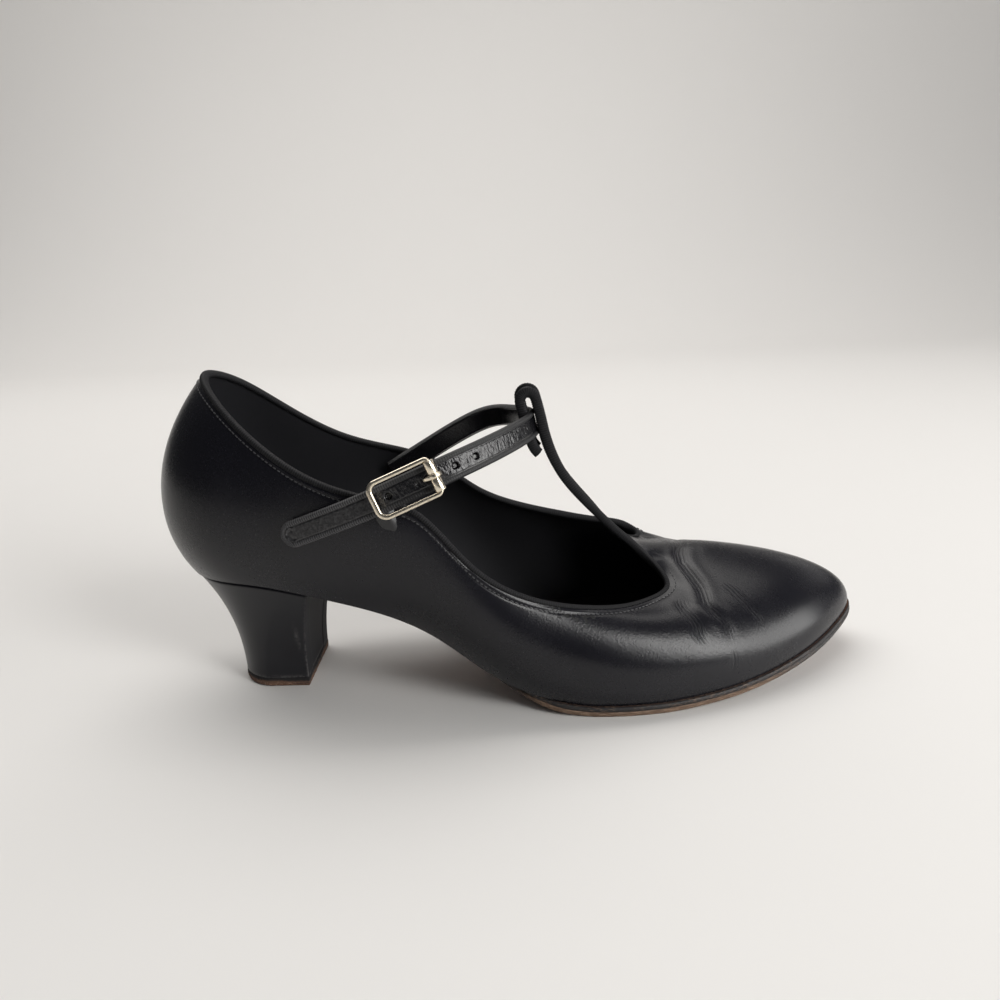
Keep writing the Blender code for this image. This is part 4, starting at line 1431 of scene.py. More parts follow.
@dataclass
class Binding:
    """Ribbed ribbon folded over the upper's whole open edge, fuller along the T-bar and its loop."""

    pitch: float = 0.72
    samples: int = 4
    rib: float = 0.14
    rib_slant: float = 1.2
    rib_start: float = 0.3
    lip: float = 1.15
    crown: float = 0.36
    bar_crown: float = 0.75
    bar_reach: float = 42.0
    bar_blend: float = 45.0
    roll: float = 0.5
    gap: float = 0.06
    rounding: float = 0.9

    def profile(self, wall: float) -> tuple[Array, Array, Array, Array]:
        """Closed section of the ribbon: over the edge on the outside, and back along a narrow gap.

        Args:
            wall: Thickness of the leather that it holds.

        Returns:
            Distance out from the sheet without and for each unit of crown, depth into the sheet, and share of
            the rib's height, point by point.
        """
        turn = np.linspace(0.0, np.pi, 7)
        half = wall / 2.0
        outer = np.array([[0.10, 0.0, self.lip], [0.05, 0.6, self.lip - 0.12], [0.0, 1.0, self.lip - 0.5],
                          [0.0, 1.06, 0.4]])
        over = np.stack([half * np.cos(turn) - half, np.cos(turn), -self.roll * np.sin(turn)], axis=1)
        inner = outer[::-1] * (-1.0, -1.0, 1.0) - (wall, 0.0, 0.0)
        near, far = self.gap, -wall - self.gap
        back = np.array([[far, 0.0, self.lip - 0.1], [far, 0.0, -self.gap], [near, 0.0, -self.gap],
                         [near, 0.0, self.lip - 0.1]])
        away, swell, depth = np.vstack([outer, over, inner, back]).T
        share = np.concatenate([[0.0, 0.6, 1.0, 1.0], np.ones(7), [1.0, 1.0, 0.6, 0.0], np.zeros(4)])
        return away, swell, depth, share

    def shape(self, upper: Upper) -> Shape:
        """The profile carried along the edge, swelling by a cosine of the length for its ribs.

        Args:
            upper: The upper that it binds.

        Returns:
            The closed ribbon with its rib values.
        """
        place, out, inward = upper.edge_frame()
        lengths = travelled(place)
        count = int(lengths[-1] / self.pitch) * self.samples
        at = np.linspace(0.0, lengths[-1], count + 1)
        step = at[1]
        reach = np.arange(-int(3 * self.rounding / step), int(3 * self.rounding / step) + 1)
        weights = bell(reach * step, self.rounding)
        weights /= weights.sum()
        frames = [read_along(values, lengths, at) for values in (place, out, inward)]
        soft = [np.stack([np.convolve(np.pad(column, len(reach) // 2, mode="edge"), weights, "valid")
                          for column in values.T], axis=1) for values in frames]
        place, out, inward = soft[0], unit(soft[1]), unit(soft[2])
        away, swell, depth, share = self.profile(upper.wall)
        on_bar = 1.0 - smooth((np.minimum(at, lengths[-1] - at) - self.bar_reach) / self.bar_blend)
        away = away + swell * (self.crown + (self.bar_crown - self.crown) * on_bar)[:, None]
        wave = 0.5 + 0.5 * np.cos(TURN * np.arange(count + 1) / self.samples)
        spread = unit(np.stack([swell * self.rib_slant, np.minimum(depth - self.rib_start, 0.0)], axis=1))
        spread *= (share * self.rib)[:, None]
        away = away + wave[:, None] * spread[:, 0]
        depth = depth + wave[:, None] * spread[:, 1]
        rings = place[:, None] + out[:, None] * away[..., None] + inward[:, None] * depth[..., None]
        return lofted(rings, values={"rib": wave[:, None] * share})


# Sole, insole, heel and lift

@dataclass
class Bottoming:
    """Outsole, insole, heel and top piece."""

    last: Last
    gap: float = 0.3
    sole: float = 3.0
    sole_waist: float = 2.0
    insole: float = 2.0
    wall: float = 1.6
    lift: float = 3.0
    breast: float = 22.0
    edge_forefoot: float = 1.0
    edge_waist: float = -7.0
    edge_waist_end: float = 42.0
    edge_forefoot_start: float = 56.0
    stations: int = 260
    across: int = 28
    line_points: int = 2400
    toe_crowding: float = 1.5
    sole_profile: Path = ((0.0, 0.55), (0.06, 0.30), (0.28, 0.20), (0.42, 0.24), (0.46, 0.36), (0.50, 0.22),
                          (0.56, 0.06), (0.70, 0.0), (0.86, 0.05), (0.95, 0.20), (1.0, 0.45))
    rand_points: int = 5
    sock_profile: Path = ((0.0, 0.9), (0.06, 0.45), (0.2, 0.12), (0.5, 0.0), (0.8, 0.12), (1.0, 0.5))
    sock_clear: float = 0.9
    sock_start: float = 0.01
    lift_profile: Path = ((1.0, 0.5), (1.0, 0.1), (0.9, 0.0), (0.7, 0.02), (0.45, -0.05), (0.2, 0.0),
                          (0.06, 0.2), (0.0, 0.6))
    lift_ragged: float = 0.07
    lift_seed: int = 7
    foot_back: float = -95.0
    foot_front: float = -70.4
    foot_half: float = 14.2
    foot_straight: float = 0.75
    foot_square: float = 0.86
    power_back: float = 2.3
    power_front: float = 2.0
    power_half: float = 1.8
    seat_sections: float = 6.0
    seat_points: int = 4001
    heel_inset: float = 0.6
    heel_levels: int = 64
    ring_points: int = 220
    corner_rounds: int = 3
    flap: float = 5.5
    flap_depth: float = 0.22
    flap_edge: float = 0.6
    tuck: float = 0.9
    tuck_start: float = 0.97
    tuck_levels: int = 6
    corner_wear_and_highlight: float = 1.3
    corner_least: float = 0.25
    corner_height: float = 0.45
    wear: float = 0.8
    rim_height: float = 0.02
    scratch_place: float = 4.66
    scratch_slant: float = 6.0
    scratch_width: float = 0.5
    scratch_level: float = 0.46
    scratch_reach: float = 0.12

    def side_line(self, side: Side, start_x: float, count: int) -> tuple[Array, Array]:
        """Feather line of one side from a place along X to the toe tip, its points closer near the tip.

        Args:
            side: Which side of the foot.
            start_x: Where the line starts.
            count: How many points it has.

        Returns:
            Points, and level directions.
        """
        tip = row_number(SECTIONS, "toe tip")
        end = 0.0 if side is Side.LATERAL else float(len(SECTIONS))
        dense = np.linspace(end, tip, self.line_points)
        points, _ = self.last.feather(dense)
        keep = points[:, 0] >= start_x
        lengths = travelled(points[keep])
        turn = np.linspace(0.0, 1.0, count)
        spots = lengths[-1] * (1.0 - (1.0 - turn)**self.toe_crowding)
        return self.last.feather(np.interp(spots, lengths, dense[keep]))

    def edge_offset(self, x: Array) -> Array:
        """How far the outsole's edge stands past the feather line, a soft step from waist to forefoot."""
        start, end = self.last.along_x(np.array([self.edge_waist_end, self.edge_forefoot_start]))
        return self.edge_waist + (self.edge_forefoot - self.edge_waist) * smooth((x - start) / (end - start))

    def plate(self, lines: dict[Side, tuple[Array, Array]], offset: Array, profile: Array, tops: Array,
              bottoms: Array) -> tuple[Array, Array]:
        """Rings of a plate on the last's bottom: over the top, down one edge, back under, up the other.

        Args:
            lines: Feather line and outward direction of both sides.
            offset: Distance of the edge outside those lines, by station.
            profile: Rows of share of the thickness downward and inset of the edge.
            tops: Height of the top over the last's bottom, by station.
            bottoms: Height of the underside over the last's bottom, by station.

        Returns:
            Rings, and for each of their points 0 on the faces and 1 on the edges.
        """
        share = np.linspace(0.0, 1.0, self.across)[None, :, None]
        inset, down = profile[:, 1], profile[:, 0]
        edges = {side: line[0][:, None, :2] + line[1][:, None, :2] * (offset[:, None] - inset)[..., None]
                 for side, line in lines.items()}
        lateral, medial = edges[Side.LATERAL], edges[Side.MEDIAL]
        top = medial[:, :1] * (1 - share) + lateral[:, :1] * share
        under = lateral[:, -1:] * (1 - share) + medial[:, -1:] * share
        plan = np.concatenate([top[:, 1:-1], lateral, under[:, 1:-1], medial[:, ::-1]], axis=1)
        fall = np.concatenate([np.zeros(self.across - 2), down, np.ones(self.across - 2), down[::-1]])
        steep = self.last.steepness(plan[..., 0])
        height = tops[:, None] * (1.0 - fall) + bottoms[:, None] * fall
        rings = np.dstack([plan, self.last.bottom(plan[..., 0]) + steep * height])
        edge = np.concatenate([np.zeros(self.across - 2), np.ones(len(down)), np.zeros(self.across - 2),
                               np.ones(len(down))])
        return rings, np.broadcast_to(edge, rings.shape[:2]).copy()

    def outsole(self) -> Shape:
        """The sole: a thin dark rand over a thicker leather layer, with a groove between them.

        Returns:
            The closed sole, with edge at 1 on its edge and rand at 1 on the rand.
        """
        start = float(self.last.along_x(self.breast)) + self.gap
        lines = {side: self.side_line(side, start, self.stations) for side in Side}
        middle = (lines[Side.LATERAL][0][:, 0] + lines[Side.MEDIAL][0][:, 0]) / 2.0
        forefoot = float(self.last.along_x(self.edge_forefoot_start))
        waist = smooth((forefoot - middle) / (forefoot - start))
        profile = np.array(self.sole_profile)
        rings, edge = self.plate(lines, self.edge_offset(middle), profile, np.full(len(middle), -self.gap),
                                 -self.gap - self.sole + (self.sole - self.sole_waist) * waist)
        rand = np.zeros(rings.shape[1])
        face = self.across - 2
        rand[face:face + self.rand_points] = 1.0
        rand[-self.rand_points:] = 1.0
        return lofted(rings, values={"edge": edge, "rand": np.broadcast_to(rand, rings.shape[:2])})

    def sock(self) -> Shape:
        """The insole's rounded plate on the turned margin, inside the wall.

        Returns:
            The closed plate.
        """
        start = float(self.last.along_x(SECTIONS[0].along)) + self.sock_start
        lines = {side: self.side_line(side, start, self.stations) for side in Side}
        under = np.full(self.stations, self.wall + self.gap)
        offset = np.full(self.stations, -self.wall - self.sock_clear)
        rings, _ = self.plate(lines, offset, np.array(self.sock_profile), under + self.insole, under)
        return lofted(rings)

    def heel_rings(self, shares: Array) -> Array:
        """D-shaped levels of the heel, from its foot at 0 to the seat at 1.

        The seat's curve is the rear of the feather line, the foot's a half ellipse with straight ends. Each
        level lies between them by a power of its share, so that back, front and sides hollow inward. A
        straight breast closes the D, and a moving mean rounds its corners.

        Args:
            shares: Levels from 0 to 1.

        Returns:
            Array of levels by points by three.
        """
        breast = float(self.last.along_x(self.breast))
        at = np.linspace(-self.seat_sections, self.seat_sections, self.seat_points)
        seat, outward = self.last.feather(at)
        seat = (seat - outward * self.heel_inset)[seat[:, 0] <= breast]
        lengths = travelled(seat[:, :2])
        turn = np.linspace(0.0, 1.0, self.ring_points)
        seat = read_along(seat, lengths / lengths[-1], turn)
        if seat[0, 1] > seat[-1, 1]:
            seat = seat[::-1]
        arc = np.pi * (turn - 0.5)
        middle = self.foot_front - self.foot_half * self.foot_straight
        foot_x = middle - (middle - self.foot_back) * np.cos(arc)
        lead = smooth((np.abs(arc) / (np.pi / 2.0) - self.foot_square) / (1.0 - self.foot_square))
        foot_x = foot_x + (self.foot_front - foot_x) * lead
        foot_y = self.foot_half * np.sin(arc)
        share = np.asarray(shares, float)[:, None]
        power = self.power_front + (self.power_back - self.power_front) * np.cos(arc)
        x = foot_x + (seat[:, 0] - foot_x) * share**power
        y = foot_y + (seat[:, 1] - foot_y) * share**self.power_half
        base = self.lift + self.gap
        z = base + (self.last.bottom(seat[:, 0]) - self.gap - base) * share
        curve = np.stack([x, y, z + 0.0 * x], axis=-1)
        across = np.linspace(0.0, 1.0, self.ring_points // 2)[None, 1:-1, None]
        front = curve[:, -1:] * (1.0 - across) + curve[:, :1] * across
        rings = np.concatenate([curve, front], axis=1)
        for _ in range(self.corner_rounds):
            rings = (np.roll(rings, 1, axis=1) + 2.0 * rings + np.roll(rings, -1, axis=1)) / 4.0
        return rings

    def heel_block(self) -> Shape:
        """The covered block: tucked in under the upper, its cover turned on to the breast as two flaps.

        Returns:
            The closed block, with inside at 1 on the breast, and a lighter mark along its corners and rim and
            on
            one scratch: rubbed wear, and along the breast edges also a painted highlight.
        """
        shares = np.concatenate([np.linspace(0.0, self.tuck_start, self.heel_levels),
                                 np.linspace(self.tuck_start, 1.0, self.tuck_levels + 1)[1:]])
        level = shares[:, None]
        rings = self.heel_rings(shares)
        inward = unit(rings.mean(axis=1, keepdims=True)[..., :2] - rings[..., :2])
        tucked = self.tuck * smooth((level - self.tuck_start) / (1.0 - self.tuck_start))
        rings[..., :2] += inward * tucked[..., None]
        curved = self.ring_points
        front = rings[:, curved + 1:-1]
        half = np.abs(front[:, :, 1] - front[:, :, 1].mean(axis=1, keepdims=True))
        inset = half.max(axis=1, keepdims=True) - half
        rings[:, curved + 1:-1, 0] -= self.flap_depth * smooth((inset - self.flap) / self.flap_edge)
        breast = np.zeros(rings.shape[:2])
        breast[:, curved:] = 1.0
        place = np.arange(rings.shape[1])
        corner = np.minimum(np.minimum(place, rings.shape[1] - place), np.abs(place - curved))
        strength = self.corner_least + (1.0 - self.corner_least) * bell(level, self.corner_height)
        line = place - self.scratch_place - self.scratch_slant * (level - self.scratch_level)
        scratch = bell(line, self.scratch_width) * bell(level - self.scratch_level, self.scratch_reach)
        # Lighter marks: rubbed wear on rim and scratch, and along the breast edges rubbed wear with a painted
        # highlight.
        wear_and_highlight = np.maximum(bell(corner, self.corner_wear_and_highlight) * strength, self.wear * scratch)
        wear_and_highlight = np.maximum(wear_and_highlight, self.wear * bell(level, self.rim_height))
        return lofted(rings, values={"inside": breast, "wear_and_highlight": wear_and_highlight})

    def top_piece(self) -> Shape:
        """The leather top piece: the heel's foot outline carried down, its worn rim rounded and ragged.

        Returns:
            The closed piece.
        """
        outline = self.heel_rings(np.array([0.0]))[0]
        out = unit(outline[:, :2] - outline.mean(axis=0)[:2])
        share, rounding = np.array(self.lift_profile).T
        random = np.random.default_rng(self.lift_seed)
        ragged = random.normal(0.0, self.lift_ragged, (len(share), len(outline)))
        ragged = (np.roll(ragged, 1, axis=1) + ragged + np.roll(ragged, -1, axis=1)) / 2.0
        inset = rounding[:, None] + ragged
        plan = outline[None, :, :2] - out[None] * inset[..., None]
        return lofted(np.dstack([plan, np.broadcast_to((share * self.lift)[:, None], inset.shape)]))

    def build(self, shop: Workshop, sole: SoleFinish, sock: SockFinish, heel: LeatherFinish,
              lift: LiftFinish) -> None:
        """Makes outsole, insole, heel and top piece.

        Args:
            shop: Where pieces are made.
            sole: Finish of the outsole.
            sock: Finish of the insole.
            heel: Finish of the heel's cover.
            lift: Finish of the top piece.
        """
        shop.piece("outsole_leather", self.outsole(), sole.paint(), ("outsole",))
        shop.piece("insole_sock", self.sock(), sock.paint(), ("insole",))
        shop.piece("heel_cover", self.heel_block(), heel.paint(), ("heel",), sharp=40.0)
        shop.piece("heel_top_piece", self.top_piece(), lift.paint(), ("heel_lift",), sharp=60.0)


# Ankle strap and buckle

@dataclass
class AnkleStrap:
    """Leather strap edged with ribbed ribbon, with a rounded end, punched holes, buckle and chape."""

    last: Last
    width: float = 8.0
    thickness: float = 1.8
    step: float = 0.2
    route_points: int = 4000
    route_step: float = 0.02
    end_steps: int = 30
    top_points: int = 53
    top_crowding: float = 0.9
    top_sink: float = 0.05
    under_points: int = 9
    under_width: float = 0.96
    edge_drop: float = 0.62
    edge_width: float = 0.7
    ribbon: float = 1.65
    ribbon_edge: float = 0.3
    ribbon_rise: float = 0.16
    pitch: float = 0.72
    rib: float = 0.17
    groove: float = 0.13
    groove_place: float = 0.1
    groove_width: float = 0.22
    hole_radius: float = 0.95
    hole_depth: float = 1.1
    hole_edge: Span = (0.2, 0.35)
    hole_rows: tuple[float, ...] = (2.28, 2.92, 3.46, 3.94)
    crinkle_rows: Span = (2.3, 5.4)
    crinkle_count: int = 260
    crinkle_seed: int = 11
    crinkle_slant: float = 0.35
    crinkle_heights: Span = (-0.09, 0.06)
    crinkle_sides: Span = (-1.5, 1.5)
    crinkle_width: float = 0.26
    crinkle_length: float = 1.3
    end_ring: float = 2.1
    ring_rise: float = 0.30
    ring_width: float = 0.30
    ring_fade: Span = (0.4, 1.4)
    hollow: float = 0.22
    hollow_place: float = 0.8
    hollow_width: float = 0.5
    dull_lead: float = 6.0
    end_worn: float = 0.6
    ring_highlight: Span = (0.4, 2.0)

    def frame_at(self, at: Array) -> tuple[Array, Array, Array, Array]:
        """Centre and directions of the strap.

        Args:
            at: Row numbers of its route, whole or between.

        Returns:
            Centre, run, width and face directions.
        """
        rows = table(STRAP_ROUTE)
        values = spline(rows, at)
        ahead, behind = (self.last.placed(spline(rows, np.asarray(at) + shift))
                         for shift in (self.route_step, -self.route_step))
        run = unit(ahead - behind)
        face = values[:, 3:6]
        face = unit(face - run * dot(face, run))
        return self.last.placed(values), run, np.cross(face, run), face

    def crinkles(self, run: Array, offset: Array, span: Array) -> Array:
        """Height of the crinkles: seeded, slanted bells across the leather, each over a part of the width.

        Args:
            run: Length along the strap of each ring.
            offset: Distance of each point from the strap's middle.
            span: Lengths between which the crinkles lie.

        Returns:
            Heights at each point.
        """
        random = np.random.default_rng(self.crinkle_seed)
        where = random.uniform(*span, self.crinkle_count)
        slant = random.normal(0.0, self.crinkle_slant, self.crinkle_count)
        size = random.uniform(*self.crinkle_heights, self.crinkle_count)
        shift = random.uniform(*self.crinkle_sides, self.crinkle_count)
        height = np.zeros_like(offset)
        for place, skew, high, side in zip(where, slant, size, shift):
            across = bell(run - place - skew * offset, self.crinkle_width)
            height += high * across * bell(offset - side, self.crinkle_length)
        return height

    def relief(self, run: Array, offset: Array, holes: Array, span: Array) -> tuple[Array, dict[str, Array]]:
        """Height of the strap's top over its middle layer, and the values that its finish reads.

        The ribbon is measured from the outline, so its ribs, a cosine of the length along the outline, fan
        out round the end. Holes are flat-bottomed dimples, and the end has a pressed ring round a hollow.

        Args:
            run: Length along the strap of each ring.
            offset: Distance of each point from the strap's middle.
            holes: Lengths at which the holes lie.
            span: Lengths between which the crinkles lie.

        Returns:
            Heights, and values by name.
        """
        half = self.width / 2.0
        back = np.maximum(half - run, 0.0)
        inset = half - np.where(back > 0.0, np.hypot(back, offset), np.abs(offset))
        outline = run - half * np.where(back > 0.0, np.arctan2(back, np.abs(offset) + 1e-6), 0.0)
        ribbon = 1.0 - smooth((inset - self.ribbon) / self.ribbon_edge + 0.5)
        swell = np.sin(np.pi * np.clip(inset / self.ribbon, 0.0, 1.0))**0.5
        wave = 0.5 + 0.5 * np.cos(TURN * outline / self.pitch)
        away = np.hypot(run[..., None] - holes, offset[..., None]).min(axis=2)
        hole = 1.0 - smooth((away - self.hole_radius + self.hole_edge[0]) / self.hole_edge[1])
        ring = np.hypot(run - half, offset) - self.end_ring
        pressed = self.ring_rise * bell(ring, self.ring_width)
        pressed -= self.hollow * bell(ring + self.hollow_place, self.hollow_width)
        pressed *= 1.0 - smooth((run - half + self.ring_fade[0]) / self.ring_fade[1])
        top = self.thickness / 2.0 - self.top_sink + ribbon * swell * (self.ribbon_rise + self.rib * wave)
        top += (1.0 - ribbon) * (self.crinkles(run, offset, span) + pressed) - self.hole_depth * hole
        top -= self.groove * bell(inset - self.ribbon - self.groove_place, self.groove_width)
        top -= self.edge_drop * (1.0 - smooth(inset / self.edge_width))**2
        dull = 1.0 - smooth((run - span[0] + self.dull_lead) / (2.0 * self.dull_lead))
        # Painted highlight round the pressed ring, and rubbed wear along the tail.
        wear_and_highlight = bell(ring, self.ring_highlight[0]) * (1.0 - smooth((run - half) / self.ring_highlight[1]))
        wear_and_highlight = np.maximum(self.end_worn * dull, wear_and_highlight)
        return top, {"ribbon": ribbon, "rib": ribbon * wave, "hole": hole, "dull": dull, "wear_and_highlight": wear_and_highlight,
                     "run": run, "side": offset}

    def shape(self) -> Shape:
        """The strap as rings along its route: a relief on top, a plain underside, and a half-round end.

        Round the end the rings' half width follows a half circle.

        Returns:
            The closed strap with its finish's values.
        """
        dense = np.linspace(0.0, len(STRAP_ROUTE) - 1.0, self.route_points)
        lengths = travelled(self.frame_at(dense)[0])
        half = self.width / 2.0
        turn = np.linspace(0.0, np.pi / 2.0, self.end_steps)[1:]
        length = np.concatenate([half * (1.0 - np.cos(turn)),
                                 np.arange(half + self.step, lengths[-1], self.step)])
        centre, _, width, face = self.frame_at(np.interp(length, lengths, dense))
        run = length[:, None]
        wide = np.sqrt(np.maximum(half**2 - np.maximum(half - run, 0.0)**2, 0.01))
        crowd = np.pi / 2.0 * self.top_crowding
        offset = wide * (np.sin(np.linspace(-1.0, 1.0, self.top_points) * crowd) / np.sin(crowd))
        holes, span = (np.interp(rows, dense, lengths) for rows in (self.hole_rows, self.crinkle_rows))
        top, values = self.relief(run, offset, holes, span)
        under = np.linspace(1.0, -1.0, self.under_points + 2)[1:-1]
        below = np.full((len(length), self.under_points), -self.thickness / 2.0)
        across = np.concatenate([offset, wide * under * self.under_width], axis=1)[..., None]
        height = np.concatenate([top, below], axis=1)[..., None]
        rings = centre[:, None] + width[:, None] * across + face[:, None] * height
        plain = np.zeros_like(below)
        return lofted(rings, values={name: np.hstack([np.broadcast_to(value, offset.shape), plain])
                                     for name, value in values.items()})

    def build(self, shop: Workshop, finish: StrapFinish) -> None:
        """Makes the strap."""
        shop.piece("ankle_strap_leather", self.shape(), finish.paint(), ("ankle_strap",),
                   sharp=70.0)


@dataclass
class Buckle:
    """Gold frame, roller and prong over the strap, and the leather chape that holds them to the quarter."""

    strap: AnkleStrap
    place: float = 0.55
    length: float = 20.0
    width: float = 12.0
    wire: float = 1.7
    gap: float = 0.3
    corners: dict[int, float] = field(default_factory=lambda: {1: 1.0, -1: 2.6})
    corner_steps: int = 14
    sides: int = 20
    frame_section: Span = (0.42, 0.44)
    frame_power: float = 0.75
    end_swell: float = 0.45
    end_start: float = 0.55
    roller_wall: float = 0.4
    roller_length: float = 8.9
    roller_play: float = 0.12
    roller_waist: Path = ((0.9, 0.06), (1.0, 0.0))
    roller_rim: Path = ((0.25, 0.0), (0.08, 0.06), (0.0, 0.2))
    prong_width: float = 1.2
    prong_thickness: float = 0.7
    prong_power: float = 0.6
    prong_reach: float = 2.6
    prong_start: float = 0.12
    prong_wrap: Span = (-0.35, 0.62)
    prong_fall: Span = (0.2, 1.25)
    prong_taper: float = 0.45
    prong_steps: tuple[int, int] = (16, 14)
    chape: float = 0.8
    chape_sections: Span = (4.08, 4.62)
    chape_levels: Span = (0.72, 1.0)
    chape_lift: Span = (0.1, 1.0)
    chape_steps: int = 36
    chape_sunk: float = 0.35
    chape_lean: Span = (0.45, 0.2)
    chape_sides: float = 0.9
    chape_foot: Span = (0.12, 0.5)
    chape_dull: float = 1.4
    pucker: float = 0.22
    pucker_turns: Span = (7.0, 5.0)
    pucker_place: Span = (0.45, 0.3)

    def axes(self) -> tuple[Array, Array, Array, Array]:
        """The buckle's own axes.

        Returns:
            Its middle over the strap's face, with its length, width and face directions.
        """
        row = row_number(STRAP_ROUTE, "buckle end") + self.place
        centre, run, width, face = (values[0] for values in self.strap.frame_at(np.array([row])))
        lift = self.strap.thickness / 2.0 + 2.0 * self.gap + self.wire / 2.0 + self.roller_wall
        return centre + face * lift, run, width, face

    def roller_radius(self) -> float:
        """Outer radius of the roller."""
        return self.wire / 2.0 + self.gap + self.roller_wall

    def frame_shape(self) -> Shape:
        """Wire of squarish section carried round a rectangle with quarter-circle corners, fuller at its end.

        Returns:
            The closed ring of wire.
        """
        middle, run, width, face = self.axes()
        half_long, half_wide = (self.length - self.wire) / 2.0, (self.width - self.wire) / 2.0
        hubs, outs = [], []
        for quarter, (along, across) in enumerate(((1, 1), (-1, 1), (-1, -1), (1, -1))):
            corner = self.corners[along]
            turn = np.pi / 2.0 * (quarter + np.linspace(0.0, 1.0, self.corner_steps + 1))[:, None]
            out = np.cos(turn) * run + np.sin(turn) * width
            hub = middle + along * (half_long - corner) * run + across * (half_wide - corner) * width
            hubs.append(hub + corner * out)
            outs.append(out)
        path, out = np.vstack(hubs), np.vstack(outs)
        flat, tall = (part[:, None] * self.wire * size
                      for part, size in zip(oval(self.sides, self.frame_power), self.frame_section))
        swell = smooth(-dot(path - middle, run) / half_long - self.end_start)
        back = 1.0 + self.end_swell * swell[..., None]
        rings = path[:, None] + out[:, None] * flat * back + face * tall
        return lofted(rings, closed=True)

    def roller_shape(self) -> Shape:
        """Tube with rounded rims and a shallow waist, turned round the frame's straight end.

        Returns:
            The closed tube.
        """
        middle, run, width, face = self.axes()
        hub = middle + run * (self.length - self.wire) / 2.0
        inner, outer, end = self.wire / 2.0 + self.roller_play, self.roller_radius(), self.roller_length / 2.0
        waist = [(place, outer - drop) for place, drop in self.roller_waist]
        rim = [(end - place, outer - drop) for place, drop in self.roller_rim]
        half = np.array(waist + rim + [(end, inner)])
        along, radius = np.vstack([half[::-1] * (-1.0, 1.0), half]).T[..., None, None]
        across, up = oval(2 * self.sides, 1.0)
        spoke = across[:, None] * run + up[:, None] * face
        return lofted(hub + width * along + spoke * radius, closed=True)

    def prong_shape(self) -> Shape:
        """Rounded bar that wraps the roller's middle and bends down to its hole in the strap.

        Returns:
            The closed bar.
        """
        middle, run, width, face = self.axes()
        hub = middle + run * (self.length - self.wire) / 2.0
        radius = self.roller_radius() + self.prong_thickness / 2.0 - self.roller_play
        turn = np.pi * np.linspace(*self.prong_wrap, self.prong_steps[0])[:, None]
        wrap = hub + radius * (np.cos(turn) * run + np.sin(turn) * face)
        share = np.linspace(self.prong_start, 1.0, self.prong_steps[1])[:, None]
        fall = self.prong_fall[0] + self.prong_fall[1] * share**2
        path = np.vstack([wrap, wrap[-1] - run * self.prong_reach * share - face * fall])
        up = unit(np.cross(unit(np.gradient(path, axis=0)), width))
        flat, tall = (part[:, None] * size / 2.0 for part, size in
                      zip(oval(self.sides, self.prong_power), (self.prong_width, self.prong_thickness)))
        taper = np.concatenate([np.ones(len(wrap)), 1.0 - self.prong_taper * share[:, 0]**3])[:, None, None]
        return lofted(path[:, None] + taper * (width * flat + up[:, None] * tall))

    def chape_shape(self) -> Shape:
        """Leather tab on the quarter: the wall's own surface, lifted towards the top and puckered where sewn.

        Returns:
            The closed tab with its finish's values.
        """
        count = self.chape_steps + 1
        at = np.linspace(*self.chape_sections, count)
        points = self.strap.last.wall(at, np.linspace(*self.chape_levels, count)[:, None]).reshape(-1, 3)
        quads = grid_quads(count, count)
        up, along = np.meshgrid(np.linspace(0.0, 1.0, count), np.linspace(-1.0, 1.0, count), indexing="ij")
        low, high = self.chape_lift
        lean, shift = self.chape_lean
        body = smooth((1.0 - np.abs(along - lean * (1.0 - up) + shift)) / self.chape_sides)
        body *= smooth((up - self.chape_foot[0]) / self.chape_foot[1])
        wave = np.cos(self.pucker_turns[0] * along + self.pucker_turns[1] * up)
        pucker = self.pucker * wave * bell(up - self.pucker_place[0], self.pucker_place[1]) * body
        lift = (low + (high - low) * up + self.chape) * body - self.chape_sunk * (1.0 - body) + pucker
        raised = points + point_normals(points, quads) * lift.reshape(-1, 1)
        shape, _ = thickened(raised, quads, np.zeros(len(points)), self.chape * 0.5)
        shape.values = {name: np.zeros(len(shape.points)) for name in ("ribbon", "rib", "hole")}
        shape.values["dull"] = np.full(len(shape.points), self.chape_dull)
        shape.values["run"], _, shape.values["side"] = shape.points.T
        return shape

    def build(self, shop: Workshop, metal: MetalFinish, leather: StrapFinish) -> None:
        """Makes frame, roller, prong and chape.

        Args:
            shop: Where pieces are made.
            metal: Finish of frame, roller and prong.
            leather: Finish of the chape.
        """
        gold = metal.paint()
        shop.piece("buckle_frame_wire", self.frame_shape(), gold, ("buckle_frame",))
        shop.piece("buckle_roller_tube", self.roller_shape(), gold, ("buckle_roller",),
                   sharp=40.0)
        shop.piece("buckle_prong_bar", self.prong_shape(), gold, ("buckle_prong",))
        shop.piece("buckle_chape_leather", self.chape_shape(), leather.paint(), ("buckle_chape",))


# Floor, light and camera

@dataclass(frozen=True)
class LightRow:
    """One soft light: its place and the point it looks at in metres, its size, power and colour."""

    name: str
    place: Triple
    target: Triple
    size: tuple[float, float]
    power: float
    colour: Triple


